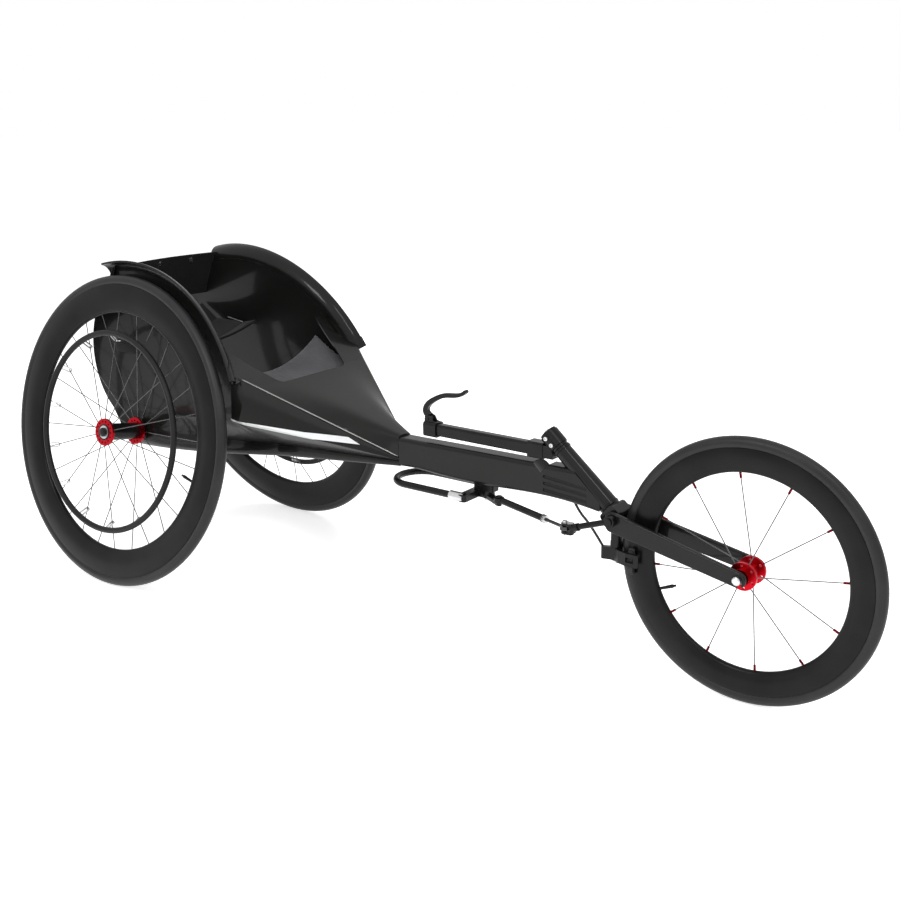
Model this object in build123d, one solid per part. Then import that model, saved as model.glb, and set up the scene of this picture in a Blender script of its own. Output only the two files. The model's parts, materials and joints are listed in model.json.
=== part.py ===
from build123d import *
import os
from math import acos, atan2, cos, degrees, hypot, pi, radians, sin, sqrt, tan

# Racing wheelchair: two cambered rear wheels, a carbon tub on a delta hull,
# a long beam and one steered front wheel.
# Millimetres. +X points forward, +Y to the rider's left, +Z up; the ground is Z = 0.
# The origin is on the ground, midway along the overall length, on the centre plane.

# Wheels
WHEELBASE = 1350.0
REAR_WHEEL_R = 334.0
FRONT_WHEEL_R = 239.0
TYRE_SECTION_R = 11.5
CAMBER = 11.0
AXLE_HALF_SPREAD = 236.0
RUNNING_FIT = 0.04
SEAT_GAP = 0.3

# Rims
REAR_RIM_INNER_R = 254.5
FRONT_RIM_INNER_R = 176.5
RIM_NOSE_R = 7.0
RIM_HALF_WIDTH = 11.4
RIM_EDGE_HALF_WIDTH = 9.5
RIM_WALL = 2.4

# Hubs, spokes and push rings
REAR_SPOKES_PER_SIDE = 14
FRONT_SPOKES_PER_SIDE = 6
SPOKE_R = 1.0
REAR_SPOKE_PHASE = 17.0
FRONT_SPOKE_PHASE = 7.5
REAR_FLANGE_R = 29.0
REAR_FLANGE_T = 5.0
REAR_FLANGE_OUT = 32.0
REAR_FLANGE_IN = -50.0
REAR_BARREL_R = 18.0
REAR_AXLE_R = 6.35
REAR_BEARING_R = 14.0
REAR_BEARING_T = 8.0
FRONT_FLANGE_R = 25.0
FRONT_FLANGE_T = 5.0
FRONT_FLANGE_HALF = 18.5
FRONT_BARREL_R = 15.0
FRONT_AXLE_R = 4.5
FRONT_BEARING_R = 11.0
FRONT_BEARING_T = 7.0
PUSH_RING_R = 211.0
PUSH_RING_TUBE_R = 6.4
PUSH_RING_OFFSET = 26.5
HOOK_BAR = 3.0
HOOK_HALF = 4.6
HOOK_LEG = 14.8
SOCKET_R = 17.0
SOCKET_FLANGE_R = 24.0
SOCKET_FLANGE_T = 2.6
SOCKET_LENGTH = 41.0
VALVE_R = 2.6
VALVE_LENGTH = 34.0

# Fender and tub, stations measured forward from the rear axle, heights from the rear axle
WALL = 4.0
FENDER_LIP_R = 365.0
FENDER_PANEL_R = 338.0
FENDER_PANEL_OFFSET = -29.0
FENDER_LIP_OFFSET = -2.0
FENDER_FRONT_ANGLE = 24.6
FENDER_REAR_ANGLE = 104.6
TUB_REAR = -182.0
NOSE_END = 606.0
NOSE_HALF = 20.0
NOSE_SPANS = 12
KEEL_HALF_REAR = 174.0
KEEL_HALF_MID = 86.0
KEEL_DROP_REAR = -49.0
KEEL_DROP_NOSE = -27.0
HULL_DEPTH = 48.0
HULL_TAPER = 0.78
CREASE_HALF = 164.0
CREASE_RISE = 30.0
RIDGE_HALF = 178.0
RIDGE_TIP_DROP = -6.0
CREASE_TIP_DROP = -13.0
COWL_T = 3.5
CAP_T = 2.2
CAP_FOOT = 9.0
CAP_LIP_ANGLE = 28.5
CAP_FOOT_ANGLE = 41.0
COWL_STATION = 361.0
COWL_HALF = 88.0
COWL_NOSE_RISE = 43.0
COWL_BACK_STATION = 236.0
COWL_BACK_RISE = 213.0

# Beam, head and fork
BEAM_W = 40.0
BEAM_H = 60.0
BEAM_ROUND = 8.0
BEAM_LOW = -27.0
SPIGOT_LENGTH = 40.0
HEAD_TUBE_R_TOP = 16.0
HEAD_TUBE_R_BOTTOM = 18.5
HEAD_TUBE_LENGTH = 129.0
HEAD_BORE_R = 14.6
CUP_H = 6.0
CUP_DEPTH = 10.0
HEAD_ANGLE = 41.2
HEAD_SETBACK = 272.0
HEAD_RISE = 69.0
STEERER_R = 12.7
CROWN_SETBACK = 248.0
CROWN_RISE = 52.0
BLADE_T = 9.0
BLADE_GAP = 44.0
DROPOUT_GAP = 66.0
BLADE_LOW_CROWN = 31.0
BLADE_HIGH_CROWN = 70.0
BLADE_ROUND = 3.0
BLADE_TIP_R = 14.5
CROWN_DEPTH = 26.0
CROWN_SEAT = 14.0
BLADE_ROOT_ROUND = 12.0
DROPOUT_R = 10.0
DROPOUT_T = 9.6
FRONT_HUB_HALF = 30.0
NIPPLE_R = 2.2
STEM_LENGTH = 30.0
STEM_R = 18.5
TILLER_LENGTH = 275.0
TILLER_W = 20.0
TILLER_H = 24.0
STEM_LUG = 34.0
TILLER_RISE = 79.5

# Brake lever and caliper
LEVER_BLADE_T = 9.0
LEVER_PIN_R = 2.5
LEVER_BOSS_R = 6.5
LEVER_LENGTH = 88.0
LEVER_HEIGHT = 66.0
LEVER_ROOT = 12.0
LEVER_TIP = 7.0
CALIPER_SETBACK = 250.0
CALIPER_HALF = 10.0
CALIPER_LOW = -29.0
CALIPER_HIGH = -5.0
CALIPER_PIN_R = 3.0
ARM_PLATE_GAP = 0.3
PAD_LENGTH = 50.0
PAD_GAP = 3.0
PAD_T = 4.5
PAD_REACH = 213.0
HOLDER_T = 3.2
CABLE_R = 2.5

# Compensator, damper and steering arm
HANDLE_TUBE_R = 7.0
HANDLE_HALF = 48.0
HANDLE_BACK = 597.0
HANDLE_RISE = 39.0
YOKE_T = 14.0
PIVOT_PIN_R = 4.0
PIVOT_SETBACK = 537.0
DAMPER_R = 6.5
DAMPER_ROD_R = 3.2
DAMPER_BODY = 115.0
EYE_R = 10.0
REAR_EYE_BORE_R = 6.8
CRANK_EYE_R = 5.2
ROD_EYE_R = 9.5
ROD_EYE_BORE_R = 6.1
CLEVIS_GAP = 13.0
CLEVIS_PIN_R = 2.5
STEER_ARM_SIDE = 45.0
STEER_ARM_R = 5.6
STEER_LUG_HALF = 33.5

# Seat, straps and soft pieces
STRAP_STATION = -34.0
STRAP_RISE = 174.0
STRAP_W = 80.0
STRAP_T = 1.8
STRAP_SAG = 30.0
STRAP_FLAP = 21.0
STRAP_INNER_HALF = 147.0
STRAP_OUTER_HALF = 158.4
SLING_T = 6.0
BACK_T = 3.0
KNEE_T = 5.0
PLATE_T = 3.0

# Derived frame places
REAR_X = -(WHEELBASE + FRONT_WHEEL_R - REAR_WHEEL_R) / 2
FRONT_X = REAR_X + WHEELBASE
REAR_Z = (REAR_WHEEL_R - TYRE_SECTION_R) * cos(radians(CAMBER)) + TYRE_SECTION_R
FRONT_Z = FRONT_WHEEL_R
AXLE_PLANE = Plane(
    origin=(REAR_X, -AXLE_HALF_SPREAD, REAR_Z),
    x_dir=(1, 0, 0),
    z_dir=(0, -cos(radians(CAMBER)), sin(radians(CAMBER))),
)
FRONT_PLANE = Plane(origin=(FRONT_X, 0, FRONT_Z), x_dir=(1, 0, 0), z_dir=(0, -1, 0))
HEAD_BOTTOM = Vector(FRONT_X - HEAD_SETBACK, 0, FRONT_Z + HEAD_RISE)
STEER_DIR = Vector(cos(radians(HEAD_ANGLE)), 0, -sin(radians(HEAD_ANGLE)))
HEAD_TOP = HEAD_BOTTOM - STEER_DIR * HEAD_TUBE_LENGTH
HEAD_PLANE = Plane(origin=HEAD_BOTTOM, x_dir=(0, 1, 0), z_dir=-STEER_DIR)
CROWN_X = FRONT_X - CROWN_SETBACK
CROWN_Z = FRONT_Z + CROWN_RISE
PIVOT_X = FRONT_X - PIVOT_SETBACK
HANDLE_Z = FRONT_Z + HANDLE_RISE
CABLE_POINTS = ((-344, -5, 68), (-331, -6, 46), (-304, -9, 27), (-276, -13, 4))


# Shared helpers

def bar(start, end, radius):
    """Round bar from one point to another."""
    run = Vector(*end) - Vector(*start)
    place = Plane(origin=start, z_dir=run)
    return place * Cylinder(radius, run.length, align=(Align.CENTER, Align.CENTER, Align.MIN))


def ring(plane, inner, outer, low, high):
    """Flat-ended ring on a plane's axis, between two heights."""
    length = high - low
    middle = Pos(0, 0, (low + high) / 2)
    return plane * middle * (Cylinder(outer, length) - Cylinder(inner, length))


def disc(plane, radius, low, high):
    """Solid disc on a plane's axis, between two heights."""
    return plane * Pos(0, 0, (low + high) / 2) * Cylinder(radius, high - low)


def turned(plane, points):
    """Solid turned about a plane's axis from a closed list of (radius, height) points."""
    outline = make_face(Polyline(*[(r, 0, z) for r, z in points], close=True))
    return plane * revolve(outline, axis=Axis.Z)


def polar(radius, angle, height):
    """Point at a radius, an angle in degrees and a height."""
    return (radius * cos(radians(angle)), radius * sin(radians(angle)), height)


def left_of(shape):
    """Mirror image on the rider's left."""
    return mirror(shape, about=Plane.XZ)


def group(shapes):
    """Separate solids kept together in one node."""
    return Compound(children=[solid for shape in shapes for solid in shape.solids()])


# Wheels

def tyre(plane, wheel_r):
    """Tubular tyre."""
    return plane * Torus(wheel_r - TYRE_SECTION_R, TYRE_SECTION_R)


def rim_outline(inner_r, wheel_r, inset):
    """Half section of a deep rim, drawn in by an inset, its bed shaped to the tyre."""
    centre = wheel_r - TYRE_SECTION_R
    bed = TYRE_SECTION_R + SEAT_GAP + inset
    edge = RIM_EDGE_HALF_WIDTH - inset * 0.6
    edge_r = centre - sqrt(bed**2 - edge**2)
    nose = inner_r + inset
    shoulder_r = inner_r + RIM_NOSE_R
    shoulder = RIM_NOSE_R - inset
    wide_r = inner_r + (edge_r - inner_r) * 0.62
    wide = RIM_HALF_WIDTH - inset
    lines = [
        ThreePointArc((shoulder_r, 0, shoulder), (nose, 0, 0), (shoulder_r, 0, -shoulder)),
        ThreePointArc((shoulder_r, 0, -shoulder), (wide_r, 0, -wide), (edge_r, 0, -edge)),
        ThreePointArc((edge_r, 0, -edge), (centre - bed, 0, 0), (edge_r, 0, edge)),
        ThreePointArc((edge_r, 0, edge), (wide_r, 0, wide), (shoulder_r, 0, shoulder)),
    ]
    return make_face(lines)


def rim(plane, inner_r, wheel_r, valve_angle):
    """Hollow deep rim with its valve stem standing in towards the hub."""
    skin = revolve(rim_outline(inner_r, wheel_r, 0.0), axis=Axis.Z)
    core = revolve(rim_outline(inner_r, wheel_r, RIM_WALL), axis=Axis.Z)
    valve = bar(
        polar(inner_r - SEAT_GAP, valve_angle, 0),
        polar(inner_r - VALVE_LENGTH, valve_angle, 0),
        VALVE_R,
    )
    return group([plane * (skin - core), plane * valve])


def spoke_angles(count, phase):
    """Angles of one side's evenly spaced spokes."""
    return [phase + 360 * index / count for index in range(count)]


def spokes(plane, count, phase, flange_r, near, far, rim_r):
    """Radial spokes, one set to each flange, the far set halfway between the near set."""
    pieces = []
    for angle in spoke_angles(count, phase):
        pieces.append(bar(polar(flange_r, angle, near), polar(rim_r, angle, 0), SPOKE_R))
    for angle in spoke_angles(count, phase + 180 / count):
        pieces.append(bar(polar(flange_r, angle, far), polar(rim_r, angle, 0), SPOKE_R))
    return group([plane * piece for piece in pieces])


def flange(plane, radius, bore, middle, thickness, holes, phase):
    """Drilled spoke flange with a raised inner collar."""
    body = ring(Plane.XY, bore, radius, middle - thickness / 2, middle + thickness / 2)
    for angle in spoke_angles(holes, phase + 180 / holes):
        body -= Pos(*polar(radius - 6.5, angle, middle)) * Cylinder(2.0, thickness * 2)
    return plane * body


def rear_hub(plane):
    """Barrel of the rear hub, waisted between its ends, bored for two bearings."""
    low = REAR_FLANGE_IN - REAR_FLANGE_T / 2 - 2
    high = REAR_FLANGE_OUT + REAR_FLANGE_T / 2 + 1
    seat = REAR_BARREL_R - 1.0
    inner = REAR_BEARING_R
    clear = REAR_AXLE_R + 2.0
    return turned(plane, [
        (inner, low),
        (seat, low),
        (seat, REAR_FLANGE_IN + REAR_FLANGE_T / 2),
        (REAR_BARREL_R, REAR_FLANGE_IN + REAR_FLANGE_T / 2),
        (REAR_BARREL_R, REAR_FLANGE_OUT - REAR_FLANGE_T / 2),
        (seat, REAR_FLANGE_OUT - REAR_FLANGE_T / 2),
        (seat, high),
        (inner, high),
        (inner, high - REAR_BEARING_T),
        (clear, high - REAR_BEARING_T),
        (clear, low + REAR_BEARING_T),
        (inner, low + REAR_BEARING_T),
    ])


def rear_flanges(plane):
    """The two anodised flanges of a rear hub."""
    bore = REAR_BARREL_R - 1.0
    inner_phase = REAR_SPOKE_PHASE + 180 / REAR_SPOKES_PER_SIDE
    return group([
        flange(plane, REAR_FLANGE_R, bore, offset, REAR_FLANGE_T, REAR_SPOKES_PER_SIDE, phase)
        for offset, phase in ((REAR_FLANGE_OUT, REAR_SPOKE_PHASE), (REAR_FLANGE_IN, inner_phase))
    ])


def rear_bearings(plane):
    """Cartridge bearings at both ends of a rear hub."""
    low = REAR_FLANGE_IN - REAR_FLANGE_T / 2 - 2
    high = REAR_FLANGE_OUT + REAR_FLANGE_T / 2 + 1
    bore = REAR_AXLE_R + RUNNING_FIT
    return group([
        ring(plane, bore, REAR_BEARING_R, low, low + REAR_BEARING_T),
        ring(plane, bore, REAR_BEARING_R, high - REAR_BEARING_T, high),
    ])


def push_ring(plane):
    """Coated push ring."""
    return plane * Pos(0, 0, PUSH_RING_OFFSET) * Torus(PUSH_RING_R, PUSH_RING_TUBE_R)


def ring_hook():
    """One U-shaped clip, flat, its open end at Y = 0 and its bend at negative Y."""
    leg = HOOK_LEG
    outer = HOOK_HALF + HOOK_BAR / 2
    inner = HOOK_HALF - HOOK_BAR / 2
    shape = Circle(outer) - Circle(inner)
    shape -= Pos(0, outer) * Rectangle(3 * outer, 2 * outer)
    for side in (-1, 1):
        shape += Pos(side * HOOK_HALF, leg / 2) * Rectangle(HOOK_BAR, leg)
    return Pos(0, -leg) * extrude(shape, HOOK_BAR / 2, both=True)


def ring_hooks(plane):
    """Clips that tie the push ring to the outboard spokes."""
    clips = []
    for angle in spoke_angles(REAR_SPOKES_PER_SIDE, REAR_SPOKE_PHASE):
        outward = Vector(cos(radians(angle)), sin(radians(angle)), 0)
        lean = Vector(0, 0, 1) * sin(radians(50)) + outward * cos(radians(50))
        across = Vector(0, 0, 1).cross(outward)
        face = lean.cross(across) * -1
        root = outward * (PUSH_RING_R - PUSH_RING_TUBE_R * 0.52)
        root += Vector(0, 0, PUSH_RING_OFFSET - PUSH_RING_TUBE_R)
        place = Plane(origin=root, x_dir=across, z_dir=face)
        clips.append(place * ring_hook())
    return group([plane * (clip - Pos(0, 0, PUSH_RING_OFFSET) * Torus(PUSH_RING_R, PUSH_RING_TUBE_R + 0.02))
                  for clip in clips])


def rear_axle(plane):
    """Quick-release axle pin with its outboard cap and inboard spacer."""
    tip = REAR_FLANGE_OUT + REAR_FLANGE_T / 2 + 1 + SEAT_GAP
    shoulder = REAR_FLANGE_IN - REAR_FLANGE_T / 2 - 2 - SEAT_GAP
    return turned(plane, [
        (0, tip + 5),
        (5, tip + 5),
        (9.5, tip + 3.5),
        (9.5, tip),
        (REAR_AXLE_R, tip),
        (REAR_AXLE_R, shoulder),
        (13, shoulder),
        (13, shoulder - 4),
        (REAR_AXLE_R, shoulder - 4),
        (REAR_AXLE_R, shoulder - 44),
        (0, shoulder - 44),
    ])


def axle_socket(plane):
    """Camber socket, flanged and screwed to the hull's side outboard, open to the axle pin."""
    face = REAR_FLANGE_IN - REAR_FLANGE_T / 2 - 2 - SEAT_GAP - 4
    body = disc(plane, SOCKET_FLANGE_R, face - SOCKET_FLANGE_T, face)
    body += disc(plane, SOCKET_R, face - SOCKET_LENGTH, face - SOCKET_FLANGE_T)
    body -= disc(plane, REAR_AXLE_R + 0.02, face - SOCKET_LENGTH - 1, face + 1)
    for angle in spoke_angles(3, 90):
        seat = plane * Pos(*polar(SOCKET_FLANGE_R - 3.4, angle, face - 0.6))
        body -= seat * Cylinder(2.3, 3)
        body += seat * Pos(0, 0, -0.6) * Cylinder(2.2, 1.4)
    return body


def axle_tube():
    """Straight axle tube between the two camber sockets, mitred to them."""
    far = REAR_FLANGE_IN - REAR_FLANGE_T / 2 - 2 - SEAT_GAP - 4 - SOCKET_LENGTH - SEAT_GAP
    height = REAR_Z + far * sin(radians(CAMBER))
    half = AXLE_HALF_SPREAD + far * cos(radians(CAMBER)) + 10
    line = [(REAR_X, -half, height), (REAR_X, half, height)]
    tube = bar(line[0], line[1], SOCKET_R) - bar(line[0], line[1], SOCKET_R - 3)
    mitre = disc(AXLE_PLANE, 60, far, far + 60)
    return tube - mitre - left_of(mitre)


# Tub and fenders

def keel_half(station):
    """Half width of the hull's lower edge at a station."""
    share = max(station, 0) / 332.0
    if share <= 1:
        return KEEL_HALF_REAR - (KEEL_HALF_REAR - KEEL_HALF_MID) * share**1.7
    tip = (station - 332.0) / (NOSE_END - 332.0)
    return KEEL_HALF_MID + (NOSE_HALF - KEEL_HALF_MID) * tip


def keel_drop(station):
    """Height of the hull's lower edge at a station, from the rear axle."""
    return KEEL_DROP_REAR + (KEEL_DROP_NOSE - KEEL_DROP_REAR) * max(station, 0) / NOSE_END


def wheel_circle(radius, offset, station):
    """Half width and height where a circle about the wheel axis meets a station."""
    up = sqrt(max(radius**2 - station**2, 1.0))
    half = AXLE_HALF_SPREAD + offset * cos(radians(CAMBER)) - up * sin(radians(CAMBER))
    height = REAR_Z + offset * sin(radians(CAMBER)) + up * cos(radians(CAMBER))
    return half, height


def crease(station):
    """Half width and height of the crease along the foot of the tub's side."""
    share = station / 307.0
    lift = CREASE_RISE + 31.0 * (abs(share) ** 1.3 if share > 0 else share * 0.6)
    return CREASE_HALF + 23.0 * share * abs(share), REAR_Z + lift


PANEL_FRONT = FENDER_PANEL_R * cos(radians(FENDER_FRONT_ANGLE))
LIP_FRONT = FENDER_LIP_R * cos(radians(FENDER_FRONT_ANGLE))
RIDGE_START = wheel_circle(FENDER_LIP_R, FENDER_LIP_OFFSET, LIP_FRONT)
CREASE_START = crease(LIP_FRONT)


def ridge(share):
    """Half width and height of the nose ridge, from the fender's corner to the nose tip."""
    half = NOSE_HALF + (RIDGE_HALF - NOSE_HALF) * (1 - share)
    height = RIDGE_START[1] + (REAR_Z + RIDGE_TIP_DROP - RIDGE_START[1]) * share
    return half, height


def nose_crease(share):
    """Half width and height of the crease along the nose's side."""
    half = CREASE_START[0] + (NOSE_HALF + 0.6 - CREASE_START[0]) * share
    height = CREASE_START[1] + (REAR_Z + CREASE_TIP_DROP - CREASE_START[1]) * share
    return half, height


def channel_section(station, top, middle, side):
    """Closed section of the open tub wall: side, crease, rounded hull edge and floor."""
    keel, bottom = keel_half(station), REAR_Z + keel_drop(station)
    depth = HULL_DEPTH * (1 - HULL_TAPER * max(station, 0) / NOSE_END)
    outer = {
        "top": top,
        "middle": middle,
        "side": side,
        "edge": (keel - 2, bottom + depth),
        "bulge": (keel, bottom + depth * 0.42),
        "floor": (keel - depth * 0.34, bottom),
    }
    inner = {
        "top": (top[0] - WALL, top[1]),
        "middle": (middle[0] - WALL, middle[1]),
        "side": (side[0] - WALL, side[1] + WALL * 0.3),
        "edge": (keel - 2 - WALL, bottom + depth + WALL * 0.3),
        "bulge": (keel - WALL, bottom + depth * 0.46),
        "floor": (keel - depth * 0.34 - WALL * 0.4, bottom + WALL),
    }
    x = REAR_X + station

    def half_path(shape, hand):
        at = {key: (x, hand * half, height) for key, (half, height) in shape.items()}
        return [
            Bezier(at["top"], at["middle"], at["side"]),
            Line(at["side"], at["edge"]),
            ThreePointArc(at["edge"], at["bulge"], at["floor"]),
        ]

    def cross(shape, key):
        half, height = shape[key]
        return Line((x, -half, height), (x, half, height))

    def lip(hand):
        ends = [(x, hand * half, height) for half, height in (outer["top"], inner["top"])]
        return Line(*ends)

    edges = half_path(outer, -1) + [cross(outer, "floor")] + half_path(outer, 1)
    edges += [lip(1)] + half_path(inner, 1) + [cross(inner, "floor")] + half_path(inner, -1) + [lip(-1)]
    return Face(Wire(edges))


def tub_section(station):
    """Section of the tub, its sides rising past the fender's foot."""
    top = wheel_circle(FENDER_PANEL_R + 9, FENDER_PANEL_OFFSET + WALL, station)
    side = crease(station)
    middle = ((top[0] + side[0]) / 2, (top[1] + side[1]) / 2)
    return channel_section(station, top, middle, side)


def nose_section(share):
    """Section of the nose, its sides hollowed between ridge and crease."""
    station = LIP_FRONT + (NOSE_END - LIP_FRONT) * share
    top, side = ridge(share), nose_crease(share)
    top = (top[0], top[1] - COWL_T - SEAT_GAP)
    hollow = 16.0 * (1 - share)
    middle = ((top[0] + side[0]) / 2 - hollow, (top[1] + side[1]) / 2)
    return channel_section(station, top, middle, side)


def fender_space():
    """Space about a rear wheel, outside the fender's foot, swept from front to rear end."""
    profile = Pos(FENDER_PANEL_R - SEAT_GAP + 40, 0, -25) * Rot(90, 0, 0) * Rectangle(80, 110)
    swept = revolve(profile, axis=Axis.Z, revolution_arc=150)
    return AXLE_PLANE * Rot(0, 0, FENDER_FRONT_ANGLE - degrees(SEAT_GAP / FENDER_PANEL_R)) * swept


def rear_trim():
    """Everything behind the tub's rear edge, seen from the side."""
    curve = Spline(
        (REAR_X - 84, REAR_Z + 334),
        (REAR_X - 130, REAR_Z + 262),
        (REAR_X - 160, REAR_Z + 175),
        (REAR_X - 152, REAR_Z + 92),
        (REAR_X - 112, REAR_Z + 32),
        (REAR_X - 62, REAR_Z - 8),
        (REAR_X - 44, REAR_Z - 60),
    )
    start, end = curve @ 0, curve @ 1
    outline = Polyline(
        (end.X, end.Y),
        (REAR_X - 260, end.Y),
        (REAR_X - 260, start.Y + 40),
        (start.X, start.Y + 40),
        (start.X, start.Y),
    )
    face = make_face([curve, outline])
    return extrude(Plane.XZ * face, 260, both=True)


def tub_shell():
    """One carbon moulding: hull floor, tub sides and nose."""
    stations = (TUB_REAR, -90.0, 0.0, 90.0, 170.0, 240.0, PANEL_FRONT)
    tub = loft([tub_section(station) for station in stations])
    shares = [(index / NOSE_SPANS) ** 1.8 for index in range(NOSE_SPANS + 1)]
    nose = loft([tub_section(PANEL_FRONT)] + [nose_section(share) for share in shares], ruled=True)
    body = tub + nose
    space = fender_space()
    hole = disc(AXLE_PLANE, SOCKET_R + SEAT_GAP, -90, -50)
    slot = Pos(REAR_X + STRAP_STATION, 0, REAR_Z + STRAP_RISE) * Box(STRAP_W + 6, 420, 6.5)
    face = REAR_FLANGE_IN - REAR_FLANGE_T / 2 - 2 - SEAT_GAP - 4 - SOCKET_FLANGE_T - SEAT_GAP
    hole += disc(AXLE_PLANE, SOCKET_FLANGE_R + SEAT_GAP, face, face + 20)
    return largest(body - space - left_of(space) - hole - left_of(hole) - slot - rear_trim())


def side_guard():
    """Right fender, rolled outwards over the tyre from the tub's side to its lip."""
    roll = FENDER_LIP_R - FENDER_PANEL_R
    centre = (FENDER_PANEL_R, FENDER_LIP_OFFSET)
    inner = roll - WALL

    def arc(radius, reverse):
        points = [
            (centre[0], 0, centre[1] - radius),
            (centre[0] + radius * sin(pi / 4), 0, centre[1] - radius * cos(pi / 4)),
            (centre[0] + radius, 0, centre[1]),
        ]
        return ThreePointArc(*(points[::-1] if reverse else points))

    outer_arc, inner_arc = arc(roll, False), arc(inner, True)
    profile = make_face([
        outer_arc,
        Line(outer_arc @ 1, inner_arc @ 0),
        inner_arc,
        Line(inner_arc @ 1, outer_arc @ 0),
    ])
    arch = revolve(profile, axis=Axis.Z, revolution_arc=FENDER_REAR_ANGLE - FENDER_FRONT_ANGLE)
    return AXLE_PLANE * Rot(0, 0, FENDER_FRONT_ANGLE) * arch


def cable_point(index):
    """One point of the brake cable's route."""
    x, y, z = CABLE_POINTS[index]
    return Vector(FRONT_X + x, y, FRONT_Z + z)


def largest(shape):
    """Largest solid of a cut shape."""
    return shape.solids().sort_by(SortBy.VOLUME)[-1]


# Cowl over the nose

def cowl_line():
    """Side view of the level part of the cowl, behind its fold."""
    return Spline(
        (COWL_BACK_STATION, REAR_Z + COWL_BACK_RISE),
        (269, REAR_Z + 186),
        (306, REAR_Z + 163),
        (LIP_FRONT, RIDGE_START[1]),
        (COWL_STATION, ridge((COWL_STATION - LIP_FRONT) / (NOSE_END - LIP_FRONT))[1]),
    )


def cowl_wings():
    """Level part of the cowl, from its rear ends to the fold."""
    top = cowl_line()
    low = Spline(*[(point.X, point.Y - COWL_T) for point in top.positions([0, 0.25, 0.5, 0.75, 1])])
    ends = [Line(top @ 0, low @ 0), Line(top @ 1, low @ 1)]
    profile = make_face([top, low] + ends)
    sheet = extrude(Plane.XZ * Pos(REAR_X, 0, 0) * profile, 230, both=True)
    beyond = RIDGE_HALF + 8
    outline = [(COWL_BACK_STATION - 1, beyond), (LIP_FRONT - 6, beyond), (LIP_FRONT, ridge(0.0)[0])]
    for station in (340, 348, COWL_STATION):
        share = (station - LIP_FRONT) / (NOSE_END - LIP_FRONT)
        outline.append((station, ridge(share)[0]))
    mirrored = [(x, -y) for x, y in reversed(outline)]
    plan = make_face(Polyline(*(outline + mirrored), close=True))
    return sheet & extrude(Pos(REAR_X, 0, 300) * plan, 400)


def cowl_section(station):
    """Section of the cowl, level at the opening and arched to the beam's width at the nose."""
    share = (station - LIP_FRONT) / (NOSE_END - LIP_FRONT)
    along = (station - COWL_STATION) / (NOSE_END - COWL_STATION)
    out, low = ridge(share)
    shoulder = COWL_HALF + (NOSE_HALF + 1.5 - COWL_HALF) * along
    high = low + COWL_NOSE_RISE * along**1.15
    run = hypot(out - shoulder, high - low)
    across, up = (out - shoulder) / run, (high - low) / run
    outer = [(out, low), (shoulder, high), (0, high)]
    inner = [(out - COWL_T * up, low - COWL_T * across), (shoulder - COWL_T * up, high - COWL_T),
             (0, high - COWL_T)]
    x = REAR_X + station

    def arch(points, hand):
        edge, bend, crown = [(x, hand * half, height) for half, height in points]
        return Bezier(edge, bend, bend, crown)

    def lip(hand):
        return Line((x, hand * outer[0][0], outer[0][1]), (x, hand * inner[0][0], inner[0][1]))

    edges = [arch(outer, -1), arch(outer, 1), lip(1), arch(inner, 1), arch(inner, -1), lip(-1)]
    return Face(Wire(edges))


def cowl_opening():
    """Knee opening between the cowl's wings, with rounded front corners."""
    outline = Polyline(
        (200, -159), (269, -138.5), (320, -120), (COWL_STATION + 5, -97),
        (COWL_STATION + 5, 97), (320, 120), (269, 138.5), (200, 159),
        close=True,
    )
    plan = make_face(outline)
    front = plan.vertices().group_by(Axis.X)[-1]
    return extrude(Pos(REAR_X, 0, 300) * fillet(front, 20), 400)


def roll_space():
    """Space under the fender's roll and outboard of its foot, swept from front to rear end."""
    roll = FENDER_LIP_R - FENDER_PANEL_R + SEAT_GAP
    profile = Circle(roll) & Pos(roll, -roll) * Rectangle(2 * roll, 2 * roll)
    profile += Pos(0, 30) * Rectangle(4 * roll, 60)
    profile += Pos(-roll, 30 - roll) * Rectangle(2 * roll, 60)
    profile = Pos(FENDER_PANEL_R, 0, FENDER_LIP_OFFSET) * Rot(90, 0, 0) * profile
    return AXLE_PLANE * Rot(0, 0, FENDER_FRONT_ANGLE) * revolve(profile, axis=Axis.Z, revolution_arc=90)


def cowl_cap():
    """Right end of the cowl's wing, laid over the fender's roll and cut off aslant behind."""
    roll = FENDER_LIP_R - FENDER_PANEL_R + SEAT_GAP
    centre = Pos(FENDER_PANEL_R, 0, FENDER_LIP_OFFSET) * Rot(90, 0, 0)
    profile = centre * (Circle(roll + CAP_T) - Circle(roll))
    quarter = 2 * (roll + CAP_T)
    profile &= centre * Pos(quarter / 2, -quarter / 2) * Rectangle(quarter, quarter)
    foot = -roll - CAP_T / 2
    profile += centre * Pos(-CAP_FOOT / 2, foot) * Rectangle(CAP_FOOT, CAP_T)
    sweep_arc = CAP_FOOT_ANGLE - FENDER_FRONT_ANGLE + 4
    cap = Rot(0, 0, FENDER_FRONT_ANGLE) * revolve(profile, axis=Axis.Z, revolution_arc=sweep_arc)
    lip = Vector(*polar(FENDER_LIP_R, CAP_LIP_ANGLE, FENDER_LIP_OFFSET))
    root = Vector(*polar(FENDER_PANEL_R, CAP_FOOT_ANGLE, FENDER_PANEL_OFFSET))
    outward = Vector(*polar(1, (CAP_LIP_ANGLE + CAP_FOOT_ANGLE) / 2, -1))
    behind = Plane(origin=lip, x_dir=root - lip, z_dir=(root - lip).cross(outward))
    return AXLE_PLANE * split(cap, bisect_by=behind, keep=Keep.TOP)


def dash_panel(shell, guard):
    """Cowl over the nose, seated on its ridges and between the fenders."""
    stations = (COWL_STATION, 385.0, 420.0, 465.0, 525.0, NOSE_END)
    cowl = loft([cowl_section(station) for station in stations])
    space = roll_space()
    body = cowl + cowl_wings() - cowl_opening() - space - left_of(space)
    cap = cowl_cap()
    body = body + cap + left_of(cap)
    body = body - shell - guard - left_of(guard)
    return largest(body)


# Beam, head tube and stem

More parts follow.
